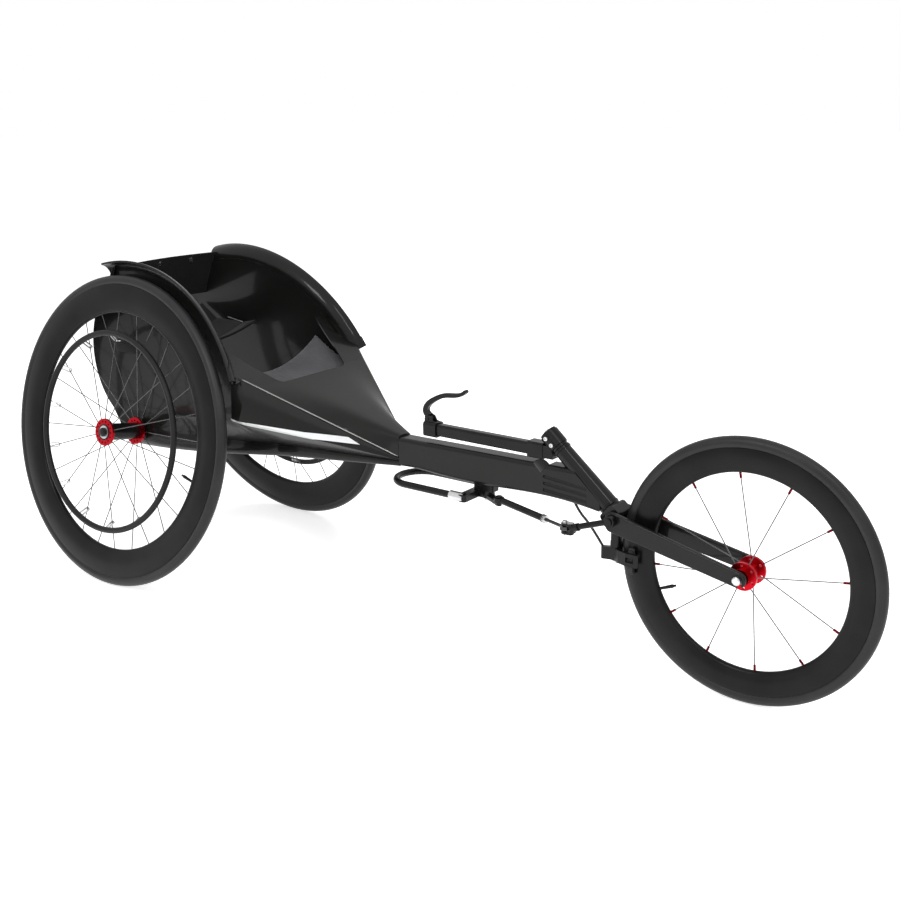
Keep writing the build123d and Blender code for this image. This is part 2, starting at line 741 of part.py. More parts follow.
def beam_section(station, low, high, width):
    """Rounded box section of the beam."""
    plane = Plane(origin=(REAR_X + station, 0, (low + high) / 2), x_dir=(0, 1, 0), z_dir=(1, 0, 0))
    return plane * RectangleRounded(width, high - low, BEAM_ROUND)


def head_part(radius_low, radius_high, low, high):
    """Turned piece on the head tube's axis, heights measured up from its lower end."""
    return HEAD_PLANE * Pos(0, 0, low) * Cone(
        radius_low, radius_high, high - low, align=(Align.CENTER, Align.CENTER, Align.MIN)
    ) if radius_low != radius_high else disc(HEAD_PLANE, radius_low, low, high)


def head_tube():
    """Tapered head tube bored for the steerer."""
    tube = head_part(HEAD_TUBE_R_BOTTOM, HEAD_TUBE_R_TOP, 0, HEAD_TUBE_LENGTH)
    return tube - disc(HEAD_PLANE, HEAD_BORE_R, -1, HEAD_TUBE_LENGTH + 1)


def main_beam():
    """Long beam from its spigot in the nose to the head tube, with fluted gusset sides."""
    end = WHEELBASE - HEAD_SETBACK
    low = BEAM_LOW + REAR_Z
    top = low + BEAM_H
    sections = [
        beam_section(NOSE_END + SEAT_GAP, low, top, BEAM_W),
        beam_section(700, low - 1, top + 1, BEAM_W),
        beam_section(860, low, top + 3, BEAM_W),
        beam_section(945, low + 3, top + 4, BEAM_W - 1),
        beam_section(end - 55, low - 1, top + 5, BEAM_W - 2),
        beam_section(end - 8, low - 7, top + 5, BEAM_W - 3),
    ]
    beam = loft(sections)
    spigot = beam_section(NOSE_END - SPIGOT_LENGTH, low + 4.5, top - 3, 2 * (NOSE_HALF - WALL) - 2)
    beam += extrude(spigot, SPIGOT_LENGTH + 1)
    above = HEAD_PLANE * Pos(0, -200, HEAD_TUBE_LENGTH / 2) * Box(200, 400, 400)
    seat = head_part(HEAD_TUBE_R_BOTTOM + SEAT_GAP, HEAD_TUBE_R_TOP + SEAT_GAP, 0, HEAD_TUBE_LENGTH)
    along = (cable_point(1) - cable_point(0)).normalized()
    cable_way = bar(tuple(cable_point(0) - along), tuple(cable_point(1)), CABLE_R + SEAT_GAP)
    beam = beam - above - seat - cable_way
    beam -= disc(HEAD_PLANE, 60, -60, 0.6)
    beam -= disc(HEAD_PLANE, 60, HEAD_TUBE_LENGTH - 0.6, HEAD_TUBE_LENGTH + 90)
    for index in range(3):
        flute = bar((end - 128, 0, low + 16 + 13 * index), (end - 36, 0, low + 9 + 12 * index), 3.2)
        for side in (-1, 1):
            beam -= Pos(REAR_X, side * (BEAM_W / 2 + 0.6), 0) * flute
    return largest(beam)


def headset_cups():
    """Upper and lower bearing cups, pressed into the head tube."""
    bore = STEERER_R + RUNNING_FIT
    cups = []
    for end, way, lip in ((0, 1, HEAD_TUBE_R_BOTTOM + 1), (HEAD_TUBE_LENGTH, -1, HEAD_TUBE_R_TOP + 1.5)):
        place = HEAD_PLANE * Pos(0, 0, end) * Rot(0 if way > 0 else 180, 0, 0)
        cups.append(place * turned(Plane.XY, [
            (bore, -CUP_H),
            (lip - 1.2, -CUP_H),
            (lip, -CUP_H + 1.5),
            (lip, -0.02),
            (HEAD_BORE_R - 0.02, -0.02),
            (HEAD_BORE_R - 0.02, CUP_DEPTH),
            (bore, CUP_DEPTH),
        ]))
    return group(cups)


STEM_LOW = HEAD_TUBE_LENGTH + CUP_H + SEAT_GAP + 5
STEM_MIDDLE = HEAD_TOP - STEER_DIR * (CUP_H + SEAT_GAP + 5 + STEM_LENGTH / 2)
TILLER_Z = FRONT_Z + HEAD_RISE + TILLER_RISE
TILLER_FRONT = STEM_MIDDLE.X - STEM_R - 1


def stem():
    """Stem clamped on the steerer, with a socket for the tiller and a top cap."""
    body = disc(HEAD_PLANE, STEM_R, STEM_LOW, STEM_LOW + STEM_LENGTH)
    lug = Box(STEM_LUG, TILLER_W + 7, TILLER_H + 7, align=(Align.MAX, Align.CENTER, Align.CENTER))
    lug = fillet(lug.edges().filter_by(Axis.X), 4)
    web = Box(22, TILLER_W + 5, TILLER_H, align=(Align.MIN, Align.CENTER, Align.CENTER))
    body += Pos(TILLER_FRONT + 2, 0, TILLER_Z) * (lug + web)
    socket = Box(STEM_LUG + 1, TILLER_W + RUNNING_FIT, TILLER_H + RUNNING_FIT,
                 align=(Align.MAX, Align.CENTER, Align.CENTER))
    socket = fillet(socket.edges().filter_by(Axis.X), 5)
    body -= Pos(TILLER_FRONT - 1, 0, TILLER_Z) * socket
    body -= disc(HEAD_PLANE, STEERER_R + 0.02, STEM_LOW - 40, STEM_LOW + STEM_LENGTH + 40)
    body -= disc(HEAD_PLANE, HEAD_TUBE_R_TOP + 4, HEAD_TUBE_LENGTH - 40, STEM_LOW - 0.3)
    spacer = ring(HEAD_PLANE, STEERER_R + 0.02, HEAD_TUBE_R_TOP, STEM_LOW - 5, STEM_LOW - 0.3)
    cap = disc(HEAD_PLANE, STEM_R - 2, STEM_LOW + STEM_LENGTH + SEAT_GAP, STEM_LOW + STEM_LENGTH + 4)
    return group([largest(body), spacer, cap])


def hex_bolt(place, radius, height):
    """Socket-head bolt standing on a place, with its hexagon recess."""
    head = Cylinder(radius, height, align=(Align.CENTER, Align.CENTER, Align.MIN))
    head = chamfer(head.edges().group_by(Axis.Z)[-1], min(radius, height) * 0.18)
    recess = extrude(Pos(0, 0, height * 0.45) * RegularPolygon(radius * 0.52, 6), height)
    return place * (head - recess)


def stem_bolts():
    """Clamp bolts on the stem's right side and its cap bolt."""
    bolts = []
    for rise in (7, STEM_LENGTH - 7):
        seat = HEAD_PLANE * Pos(-STEM_R - 0.2, 0, STEM_LOW + rise) * Rot(0, -90, 0)
        bolts.append(hex_bolt(seat, 4, 3.5))
    top = HEAD_PLANE * Pos(0, 0, STEM_LOW + STEM_LENGTH + 4 + SEAT_GAP)
    bolts.append(hex_bolt(top, 6, 4))
    return group(bolts)


def handlebar():
    """Tiller bar running back from the stem over the beam."""
    size = (TILLER_LENGTH, TILLER_W, TILLER_H)
    bar_body = Box(*size, align=(Align.MAX, Align.CENTER, Align.CENTER))
    bar_body = fillet(bar_body.edges().filter_by(Axis.X), 5)
    bar_body -= Pos(-4, 0, 0) * fillet(
        Box(size[0] - 8, TILLER_W - 4, TILLER_H - 4, align=(Align.MAX, Align.CENTER, Align.CENTER))
        .edges().filter_by(Axis.X), 3
    )
    return Pos(TILLER_FRONT - 1.3, 0, TILLER_Z) * bar_body


TILLER_BACK = TILLER_FRONT - 1.3 - TILLER_LENGTH
LEVER_PIVOT = Vector(TILLER_BACK + 7, 0, TILLER_Z + TILLER_H / 2 + 7.5)


def side_plate(points, low, high):
    """Plate with a side-view outline of points from the lever's pivot, between two half widths."""
    outline = Polyline(*[(LEVER_PIVOT.X + x, LEVER_PIVOT.Z + z) for x, z in points], close=True)
    return Pos(0, -low, 0) * extrude(Plane.XZ * make_face(outline), high - low)


def lever_bracket():
    """Clamp on the tiller's rear end with two cheeks and the lever's pivot pin."""
    clamp = fillet(Box(30, TILLER_W + 7, TILLER_H + 6).edges().filter_by(Axis.X), 6)
    inner = fillet(Box(40, TILLER_W + 0.04, TILLER_H + 0.04).edges().filter_by(Axis.X), 5)
    clamp = Pos(TILLER_BACK + 14, 0, TILLER_Z) * (clamp - inner)
    outline = [(-8, 0), (-7, 6), (0, 8.5), (7, 6), (12, -3), (19, -4.2), (19, -5.5), (-8, -5.5)]
    gap = LEVER_BLADE_T / 2 + SEAT_GAP + 0.2
    for side in (0, 1):
        cheek = side_plate(outline, gap, gap + 3)
        clamp += mirror(cheek, about=Plane.XZ) if side else cheek
    clamp -= Pos(*LEVER_PIVOT) * Box(2 * LEVER_BOSS_R + 9, 2 * gap, 2 * LEVER_BOSS_R + 1.6)
    pin = (LEVER_PIVOT.X, -gap - 4.5, LEVER_PIVOT.Z), (LEVER_PIVOT.X, gap + 4.5, LEVER_PIVOT.Z)
    return clamp + bar(*pin, LEVER_PIN_R)


def brake_lever():
    """Hooked brake lever, its blade tapering from the pivot boss to the tip."""
    back, rise = LEVER_LENGTH, LEVER_HEIGHT
    spine = Spline((0, 5), (-9, 0.27 * rise), (0.15 * back, 0.62 * rise), (0.45 * back, 0.79 * rise),
                   (0.78 * back, 0.85 * rise), (back, rise))
    steps = 9
    upper, lower = [], []
    for index in range(steps):
        share = index / (steps - 1)
        point, along = spine @ share, spine % share
        half = LEVER_ROOT / 2 + (LEVER_TIP - LEVER_ROOT) / 2 * share
        upper.append((point.X - along.Y * half, point.Y + along.X * half))
        lower.append((point.X + along.Y * half, point.Y - along.X * half))
    top, low = Spline(*upper), Spline(*lower)
    tip = ThreePointArc(top @ 1, (spine @ 1) + (spine % 1) * LEVER_TIP / 2, low @ 1)
    face = make_face([top, tip, low, Line(low @ 0, top @ 0)]) + Circle(LEVER_BOSS_R)
    blade = extrude(Plane.XZ * face, LEVER_BLADE_T / 2, both=True)
    blade -= Rot(90, 0, 0) * Cylinder(LEVER_PIN_R + RUNNING_FIT, 30)
    return Pos(*LEVER_PIVOT) * blade


# Fork

def fork_crown():
    """Steerer and crown of the fork, with the crown's lug for the steering arm."""
    steerer = disc(HEAD_PLANE, STEERER_R, -CUP_H - 8, STEM_LOW + STEM_LENGTH - 1)
    low, high = -CUP_H - SEAT_GAP - CROWN_DEPTH, -CUP_H - SEAT_GAP
    crown = Box(BLADE_GAP - 0.6, 37, CROWN_DEPTH, align=(Align.CENTER, Align.CENTER, Align.MIN))
    crown = fillet(crown.edges().filter_by(Axis.X), 7)
    crown = HEAD_PLANE * Pos(0, 0, low) * crown
    race = disc(HEAD_PLANE, HEAD_TUBE_R_BOTTOM, high - 3, high)
    lug = bar((CROWN_X, -BLADE_GAP / 2 + 6, CROWN_Z), (CROWN_X, -STEER_LUG_HALF, CROWN_Z), 8)
    return steerer + crown + race + lug


def blade_plane():
    """Middle plane of the right fork blade, turned outwards from the crown to the hub."""
    root, tip = BLADE_GAP / 2 + BLADE_T / 2, DROPOUT_GAP / 2 + BLADE_T / 2
    turn = atan2(tip - root, CROWN_SETBACK + CROWN_SEAT)
    forward = (cos(turn), -sin(turn), 0)
    outward = (-sin(turn), -cos(turn), 0)
    return Plane(origin=(FRONT_X, -tip, FRONT_Z), x_dir=forward, z_dir=outward)


def tangent_point(point, radius, hand):
    """Where a line from a point touches a circle about the origin, above it or below it."""
    angle = atan2(point[1], point[0]) - hand * acos(radius / hypot(*point))
    return radius * cos(angle), radius * sin(angle)


def blade_outline():
    """Side view of a fork blade: straight edges, a rounded root and a round tip about the axle."""
    back = -CROWN_SETBACK - CROWN_SEAT
    high, low = (back, BLADE_HIGH_CROWN), (back, BLADE_LOW_CROWN)
    over, under = tangent_point(high, BLADE_TIP_R, 1), tangent_point(low, BLADE_TIP_R, -1)
    tip = ThreePointArc(under, (BLADE_TIP_R, 0), over)
    face = make_face([Line(low, under), tip, Line(over, high), Line(high, low)])
    return fillet(face.vertices().group_by(Axis.X)[0], BLADE_ROOT_ROUND)


def fork_blade():
    """Right fork blade, slotted at its tip for the axle."""
    blade = extrude(blade_outline(), BLADE_T / 2, both=True)
    sides = blade.faces().sort_by(Axis.Z)
    blade = fillet(sides[0].edges() + sides[-1].edges(), BLADE_ROUND)
    blade = blade_plane() * blade
    axle = bar((FRONT_X, -10, FRONT_Z), (FRONT_X, -80, FRONT_Z), DROPOUT_R + SEAT_GAP)
    slot = Pos(FRONT_X + 3, -BLADE_GAP, FRONT_Z - DROPOUT_R) * Box(2 * FRONT_AXLE_R, 60, 2 * DROPOUT_R)
    blade = blade - axle - slot
    lug_hole = bar((CROWN_X, -10, CROWN_Z), (CROWN_X, -60, CROWN_Z), 8.02)
    return blade, blade - lug_hole


def fork_dropouts():
    """Metal bushes in the blade tips, slotted for the axle."""
    bushes = []
    inner = DROPOUT_GAP / 2 + (BLADE_T - DROPOUT_T) / 2
    for side in (-1, 1):
        profile = Circle(DROPOUT_R) - Circle(FRONT_AXLE_R + 0.02)
        profile -= Pos(3, -DROPOUT_R) * Rectangle(2 * FRONT_AXLE_R, 2 * DROPOUT_R)
        bush = extrude(profile, DROPOUT_T / 2, both=True)
        bushes.append(FRONT_PLANE * Pos(0, 0, side * (inner + DROPOUT_T / 2)) * bush)
    return group(bushes)


def front_axle():
    """Front axle with its shoulders between the dropouts and its heads outside."""
    plate_in = DROPOUT_GAP / 2 + (BLADE_T - DROPOUT_T) / 2
    plate_out = plate_in + DROPOUT_T
    half = [
        (0, plate_out + 6),
        (5.5, plate_out + 6),
        (7.5, plate_out + 4.5),
        (7.5, plate_out + SEAT_GAP),
        (FRONT_AXLE_R, plate_out + SEAT_GAP),
        (FRONT_AXLE_R, plate_in - SEAT_GAP),
        (8, plate_in - SEAT_GAP),
        (8, FRONT_HUB_HALF + SEAT_GAP),
        (FRONT_AXLE_R, FRONT_HUB_HALF + SEAT_GAP),
    ]
    return turned(FRONT_PLANE, half + [(r, -z) for r, z in reversed(half)])


def front_hub():
    """Spool-shaped front hub bored for two bearings."""
    flange_out = FRONT_FLANGE_HALF + FRONT_FLANGE_T / 2
    flange_in = FRONT_FLANGE_HALF - FRONT_FLANGE_T / 2
    seat = FRONT_HUB_HALF - FRONT_BEARING_T
    outer = [
        (FRONT_BARREL_R, FRONT_HUB_HALF),
        (FRONT_BARREL_R, flange_out),
        (FRONT_FLANGE_R, flange_out),
        (FRONT_FLANGE_R, flange_in),
        (FRONT_BARREL_R, flange_in - 2),
        (FRONT_BARREL_R - 2, 0),
    ]
    inner = [
        (FRONT_AXLE_R + 2.5, 0),
        (FRONT_AXLE_R + 2.5, seat),
        (FRONT_BEARING_R, seat),
        (FRONT_BEARING_R, FRONT_HUB_HALF),
    ]
    half = inner[1:] + outer[:-1]
    points = half + [(FRONT_BARREL_R - 2, 0)] + [(r, -z) for r, z in reversed(half)]
    hub = turned(FRONT_PLANE, points)
    for angle in spoke_angles(FRONT_SPOKES_PER_SIDE, FRONT_SPOKE_PHASE + 30):
        hub -= FRONT_PLANE * Pos(*polar(FRONT_BARREL_R + 5, angle, 0)) * Cylinder(2.4, 80)
    return hub


def front_bearings():
    """Cartridge bearings of the front hub."""
    bore = FRONT_AXLE_R + RUNNING_FIT
    seat = FRONT_HUB_HALF - FRONT_BEARING_T
    return group([
        ring(FRONT_PLANE, bore, FRONT_BEARING_R, seat, FRONT_HUB_HALF),
        ring(FRONT_PLANE, bore, FRONT_BEARING_R, -FRONT_HUB_HALF, -seat),
    ])


def front_nipples():
    """Anodised nipples where the front spokes enter the rim."""
    pieces = []
    for side, phase in ((1, 0), (-1, 180 / FRONT_SPOKES_PER_SIDE)):
        for angle in spoke_angles(FRONT_SPOKES_PER_SIDE, FRONT_SPOKE_PHASE + phase):
            near = Vector(*polar(FRONT_FLANGE_R, angle, side * FRONT_FLANGE_HALF))
            far = Vector(*polar(FRONT_RIM_INNER_R, angle, 0))
            along = (far - near).normalized()
            start, end = far - along * 10, far - along * SEAT_GAP
            body = bar(tuple(start), tuple(end), NIPPLE_R)
            body -= bar(tuple(start - along), tuple(end + along), SPOKE_R + 0.02)
            pieces.append(FRONT_PLANE * body)
    return group(pieces)


# Brake caliper

def caliper_place(y, z):
    """Point on the caliper's pivot line."""
    return (FRONT_X - CALIPER_SETBACK, y, FRONT_Z + z)


def caliper_mount(crown):
    """Hanger under the crown with the two pivot pins of the caliper arms."""
    top = CALIPER_HIGH + ARM_PLATE_GAP + 6
    block = Pos(*caliper_place(0, CALIPER_HIGH + ARM_PLATE_GAP + 29.5)) * Box(17, 2 * CALIPER_HALF + 12, 59)
    block = fillet(block.edges().filter_by(Axis.Z), 4) - crown
    block = block.solids().sort_by(Axis.Z)[0]
    for side in (-1, 1):
        y = side * CALIPER_HALF
        block += bar(caliper_place(y, CALIPER_LOW - 3), caliper_place(y, top), CALIPER_PIN_R)
        block += bar(caliper_place(y, CALIPER_LOW - 5.5), caliper_place(y, CALIPER_LOW - SEAT_GAP), 5.5)
    return block


def caliper_arm():
    """Right caliper arm, curving forward past the tyre to its pad."""
    face = make_face(Polyline(
        (-24, 2.5), (-26, 7.5), (-22, 9.5), (-8, 6.0), (2, 6.6), (12, 12.9), (30, 18.0), (53, 18.0),
        (54, 12.8), (30, 12.4), (17, 9.9), (7, -3.2), (0, -5.8), (-10, -3.5), close=True))
    face = fillet(face.vertices(), 1.2) + Circle(5.8)
    arm = extrude(face, CALIPER_HIGH - CALIPER_LOW)
    window = Pos(38, 15, (CALIPER_HIGH - CALIPER_LOW) / 2) * Box(16, 20, 9)
    arm -= window + Cylinder(CALIPER_PIN_R + RUNNING_FIT, 200)
    x, y, z = caliper_place(-CALIPER_HALF, CALIPER_LOW)
    return Pos(x, y, z) * mirror(arm, about=Plane.XZ)


def brake_pad():
    """Right brake pad in its holder, standing beside the rim."""
    inner = RIM_HALF_WIDTH + PAD_GAP
    x = FRONT_X - PAD_REACH
    pad = Box(11, PAD_T, PAD_LENGTH, align=(Align.CENTER, Align.MAX, Align.CENTER))
    pad = fillet(pad.edges().filter_by(Axis.Y), 3)
    holder = Box(9, HOLDER_T, PAD_LENGTH - 8, align=(Align.CENTER, Align.MAX, Align.CENTER))
    holder = fillet(holder.edges().filter_by(Axis.Y), 2.5)
    pad = Pos(x, -inner, FRONT_Z - 22) * pad
    holder = Pos(x, -inner - PAD_T, FRONT_Z - 22) * holder
    return pad + holder


# Steering damper and compensator

ARM_END = Vector(FRONT_X - 336, -STEER_ARM_SIDE, FRONT_Z + 25)
DAMPER_BACK = Vector(FRONT_X - 492, -30, FRONT_Z + 44)
DAMPER_AXIS = (ARM_END - DAMPER_BACK).normalized()


def steering_arm():
    """Arm from the crown's lug back to the clevis that takes the damper's rod end."""
    root = Vector(CROWN_X, -STEER_LUG_HALF - 4.5, CROWN_Z)
    eye = Rot(90, 0, 0) * (Cylinder(11, 9) - Cylinder(5, 20))
    back = ARM_END + Vector(13, 0, 1)
    arm = Pos(*root) * eye
    arm += bar(tuple(root + Vector(-9, 0, -3)), tuple(back + Vector(6, 0, 3)), STEER_ARM_R)
    arm += bar(tuple(back + Vector(16, 0, 6)), tuple(back + Vector(0, 0, 0)), STEER_ARM_R + 1.8)
    half = CLEVIS_GAP / 2
    for side in (-1, 1):
        tab = Box(24, 15, 4, align=(Align.MAX, Align.CENTER, Align.CENTER))
        tab = fillet(tab.edges().filter_by(Axis.Z), 6)
        arm += Pos(ARM_END.X + 18, ARM_END.Y, ARM_END.Z + side * (half + 2)) * tab
    arm += Pos(ARM_END.X + 17, ARM_END.Y, ARM_END.Z) * Box(6, 13, CLEVIS_GAP + 2)
    bolt = (ARM_END.X, ARM_END.Y, ARM_END.Z - half - 7), (ARM_END.X, ARM_END.Y, ARM_END.Z + half + 7)
    arm += bar(*bolt, CLEVIS_PIN_R)
    arm += Pos(ARM_END.X, ARM_END.Y, ARM_END.Z + half + 5.5) * Cylinder(4.5, 3)
    root_hole = Pos(*root) * Rot(90, 0, 0) * Cylinder(5, 20)
    screw = Pos(*root) * Rot(90, 0, 0) * Cylinder(4.98, 9)
    cap = Pos(*(root + Vector(0, -6, 0))) * Rot(90, 0, 0) * Cylinder(7, 3)
    return arm - root_hole + screw + cap


def damper_cylinder():
    """Damper body with its rear eye and front collar."""
    eye = Pos(*DAMPER_BACK) * (Cylinder(EYE_R, 8) - Cylinder(REAR_EYE_BORE_R, 20))
    front = DAMPER_BACK + DAMPER_AXIS * DAMPER_BODY
    body = bar(tuple(DAMPER_BACK + DAMPER_AXIS * (EYE_R - 0.8)), tuple(front), DAMPER_R)
    body += bar(tuple(front - DAMPER_AXIS * 9), tuple(front), DAMPER_R + 1.5)
    bore_back = front - DAMPER_AXIS * (DAMPER_BODY - 30)
    body -= bar(tuple(bore_back), tuple(front + DAMPER_AXIS), DAMPER_ROD_R + 0.1)
    return eye + body


def damper_rod():
    """Sliding damper rod with its eye, loose about the clevis bolt."""
    start = DAMPER_BACK + DAMPER_AXIS * (DAMPER_BODY - 30)
    eye = Cylinder(ROD_EYE_R, 7) - Cylinder(ROD_EYE_BORE_R, 20)
    rod = bar(tuple(start), tuple(ARM_END - DAMPER_AXIS * (ROD_EYE_R - 1.2)), DAMPER_ROD_R)
    return rod + Pos(*ARM_END) * eye


def compensator_bracket(beam):
    """Bracket under the beam with the compensator's vertical pivot bolt."""
    x, z = PIVOT_X, HANDLE_Z
    block = Box(46, 24, 40, align=(Align.CENTER, Align.CENTER, Align.MIN))
    block = Pos(x - 6, 0, z + YOKE_T / 2 + SEAT_GAP) * block
    block = fillet(block.edges().filter_by(Axis.Z), 5)
    for offset in (-16, 16):
        block -= Pos(x - 6, 0, 0) * Pos(offset, 0, z + YOKE_T / 2) * Cylinder(2.5, 3)
    block = (block - beam).solids().sort_by(Axis.Z)[0]
    block += bar((x, 0, z - YOKE_T / 2 - 2), (x, 0, z + YOKE_T / 2 + 3), PIVOT_PIN_R)
    return block + bar((x, 0, z - YOKE_T / 2 - 5), (x, 0, z - YOKE_T / 2 - SEAT_GAP), 8)


def compensator_yoke():
    """Cross bar that holds the handle's ends, turns on the pivot and carries the damper's rear pin."""
    half = HANDLE_HALF
    bar_x = PIVOT_X - 26
    plan = Pos(bar_x, 0) * RectangleRounded(18, 2 * half + 16, 6) + Pos(PIVOT_X, 0) * Circle(12)
    plan += Pos((bar_x + PIVOT_X) / 2, 0) * Rectangle(PIVOT_X - bar_x, 20)
    crank_end = Pos(DAMPER_BACK.X, DAMPER_BACK.Y) * Circle(CRANK_EYE_R)
    crank = make_hull((Pos(PIVOT_X, 0) * Circle(9)).edges() + crank_end.edges())
    body = extrude(Pos(0, 0, HANDLE_Z) * plan, YOKE_T / 2, both=True)
    low = HANDLE_Z - YOKE_T / 2
    pin_low = DAMPER_BACK.Z - 4.8
    body += extrude(Pos(0, 0, low) * crank, pin_low - low)
    for y in (-half, half):
        body += bar((bar_x - 30, y, HANDLE_Z), (bar_x + 2, y, HANDLE_Z), HANDLE_TUBE_R + 2.5)
        body -= bar((bar_x - 40, y, HANDLE_Z), (bar_x - 6, y, HANDLE_Z), HANDLE_TUBE_R + 0.12)
        body += bar((bar_x, y, HANDLE_Z), (bar_x, y, HANDLE_Z + YOKE_T / 2 + 2.5), 4)
    body -= bar((PIVOT_X, 0, 0), (PIVOT_X, 0, HANDLE_Z + 40), PIVOT_PIN_R + RUNNING_FIT)
    pin = (DAMPER_BACK.X, DAMPER_BACK.Y, pin_low - 1), (DAMPER_BACK.X, DAMPER_BACK.Y, DAMPER_BACK.Z + 7)
    body += bar(*pin, CLEVIS_PIN_R)
    return body + bar((DAMPER_BACK.X, DAMPER_BACK.Y, DAMPER_BACK.Z + 5), pin[1], CRANK_EYE_R + 1)


def compensator_handle():
    """U-shaped compensator handle below the nose and beam."""
    half, bend = HANDLE_HALF, HANDLE_HALF
    front = PIVOT_X - 26 - 6.3
    back = REAR_X + HANDLE_BACK + bend
    path = Wire([
        Line((front, -half, HANDLE_Z), (back, -half, HANDLE_Z)),
        ThreePointArc((back, -half, HANDLE_Z), (back - bend, 0, HANDLE_Z), (back, half, HANDLE_Z)),
        Line((back, half, HANDLE_Z), (front, half, HANDLE_Z)),
    ])
    start = Plane(origin=(front, -half, HANDLE_Z), z_dir=(-1, 0, 0))
    return sweep(start * Circle(HANDLE_TUBE_R), path=path)


# Seat and soft pieces

def arc_band(half, edge_z, drop, thickness):
    """Sagging band seen along X, hung between two points at the same height."""
    top = ThreePointArc((-half, edge_z), (0, edge_z - drop), (half, edge_z))
    low = ThreePointArc(
        (-half, edge_z - thickness), (0, edge_z - drop - thickness), (half, edge_z - thickness)
    )
    return make_face([top, low, Line(top @ 0, low @ 0), Line(top @ 1, low @ 1)])


def seat_straps():
    """Broad seat strap, hung between the tub's sides and turned down outside its slots."""
    z = REAR_Z + STRAP_RISE
    inner = STRAP_INNER_HALF
    section = arc_band(inner, z + STRAP_T / 2, STRAP_SAG, STRAP_T)
    for side in (-1, 1):
        tail = Rectangle(STRAP_OUTER_HALF - inner, STRAP_T)
        section += Pos(side * (inner + STRAP_OUTER_HALF) / 2, z) * tail
        flap = Rectangle(STRAP_T, STRAP_FLAP, align=(Align.MAX if side > 0 else Align.MIN, Align.MAX))
        section += Pos(side * STRAP_OUTER_HALF, z + STRAP_T / 2) * flap
    strap = extrude(Plane.YZ * section, STRAP_W / 2, both=True)
    return Pos(REAR_X + STRAP_STATION, 0, 0) * strap


def seat_sling(shell):
    """Padded sling seat lying in the strap, its rear edge rising to the back."""
    z = REAR_Z + STRAP_RISE + STRAP_T / 2 + SEAT_GAP + SLING_T
    sections = []
    for station, lift, sag in ((-128, 34, 26), (-78, 0, STRAP_SAG), (12, 0, STRAP_SAG), (52, 10, 26)):
        face = arc_band(STRAP_INNER_HALF - 3, z + lift, sag, SLING_T)
        sections.append(Plane(origin=(REAR_X + station, 0, 0), x_dir=(0, 1, 0), z_dir=(1, 0, 0)) * face)
    return largest(loft(sections, ruled=True) - shell)


def back_section(z, station, half, bulge):
    """Plan section of the back upholstery at one height."""
    x = REAR_X + station
    inner = ThreePointArc((x, -half), (x - bulge, 0), (x, half))
    outer = ThreePointArc((x - BACK_T, -half), (x - bulge - BACK_T, 0), (x - BACK_T, half))
    face = make_face([inner, outer, Line(inner @ 0, outer @ 0), Line(inner @ 1, outer @ 1)])
    return Pos(0, 0, z) * face


def back_upholstery(shell, guard):
    """Back sling stretched between the rear edges of the tub's sides."""
    band = loft([
        back_section(REAR_Z + 236, -114, 160, 22),
        back_section(REAR_Z + 285, -92, 160, 26),
        back_section(REAR_Z + 337, -62, 160, 30),
    ])
    return largest(band - shell - guard - left_of(guard))


def knee_pad(shell, cowl):
    """Knee trough hung under the rim of the cowl's opening."""
    sections = []
    for station, edge, low, half in ((219, 172, 116, 163), (252, 158, 103, 156), (290, 142, 94, 150),
                                     (325, 130, 87, 150), (356, 120, 80, 150)):
        face = arc_band(half, REAR_Z + edge, edge - low, KNEE_T)
        sections.append(Plane(origin=(REAR_X + station, 0, 0), x_dir=(0, 1, 0), z_dir=(1, 0, 0)) * face)
    return largest(loft(sections) - shell - cowl)


def kneel_plate():
    """Kneeling plate resting on the axle tube, its front edge rising."""
    z = axle_tube().bounding_box().max.Z + SEAT_GAP
    outline = Polyline(
        (REAR_X - 30, -132), (REAR_X + 90, -132), (REAR_X + 210, -108), (REAR_X + 240, -80),
        (REAR_X + 240, 80), (REAR_X + 210, 108), (REAR_X + 90, 132), (REAR_X - 30, 132), close=True)
    plate = extrude(Pos(0, 0, z) * fillet(make_face(outline).vertices(), 14), PLATE_T)
    slot = extrude(SlotOverall(32, 12), 20, both=True)
    for row in range(3):
        for column in range(-2, 3):
            plate -= Pos(REAR_X + 40 + 50 * row, 40 * column, z) * slot
    return plate


# Brake cable between the beam and the caliper

def brake_cable():
    """Brake cable, out of the beam's gusset and down to the caliper's right arm."""
    points = [cable_point(index) for index in range(len(CABLE_POINTS))]
    radii = []
    for before, at, after in zip(points, points[1:], points[2:]):
        one, two = at - before, after - at
        turn = radians(one.get_angle(two))
        radii.append(0.45 * min(one.length, two.length) / tan(turn / 2))
    path = FilletPolyline(*points, radius=radii)
    start = Plane(origin=points[0], z_dir=points[1] - points[0])
    cable = sweep(start * Circle(CABLE_R), path=path)
    print("cable radii", [round(radius, 1) for radius in radii], "length", round(path.length, 1),
          "volume over section times length", round(cable.volume / (pi * CABLE_R**2 * path.length), 4))
    return cable


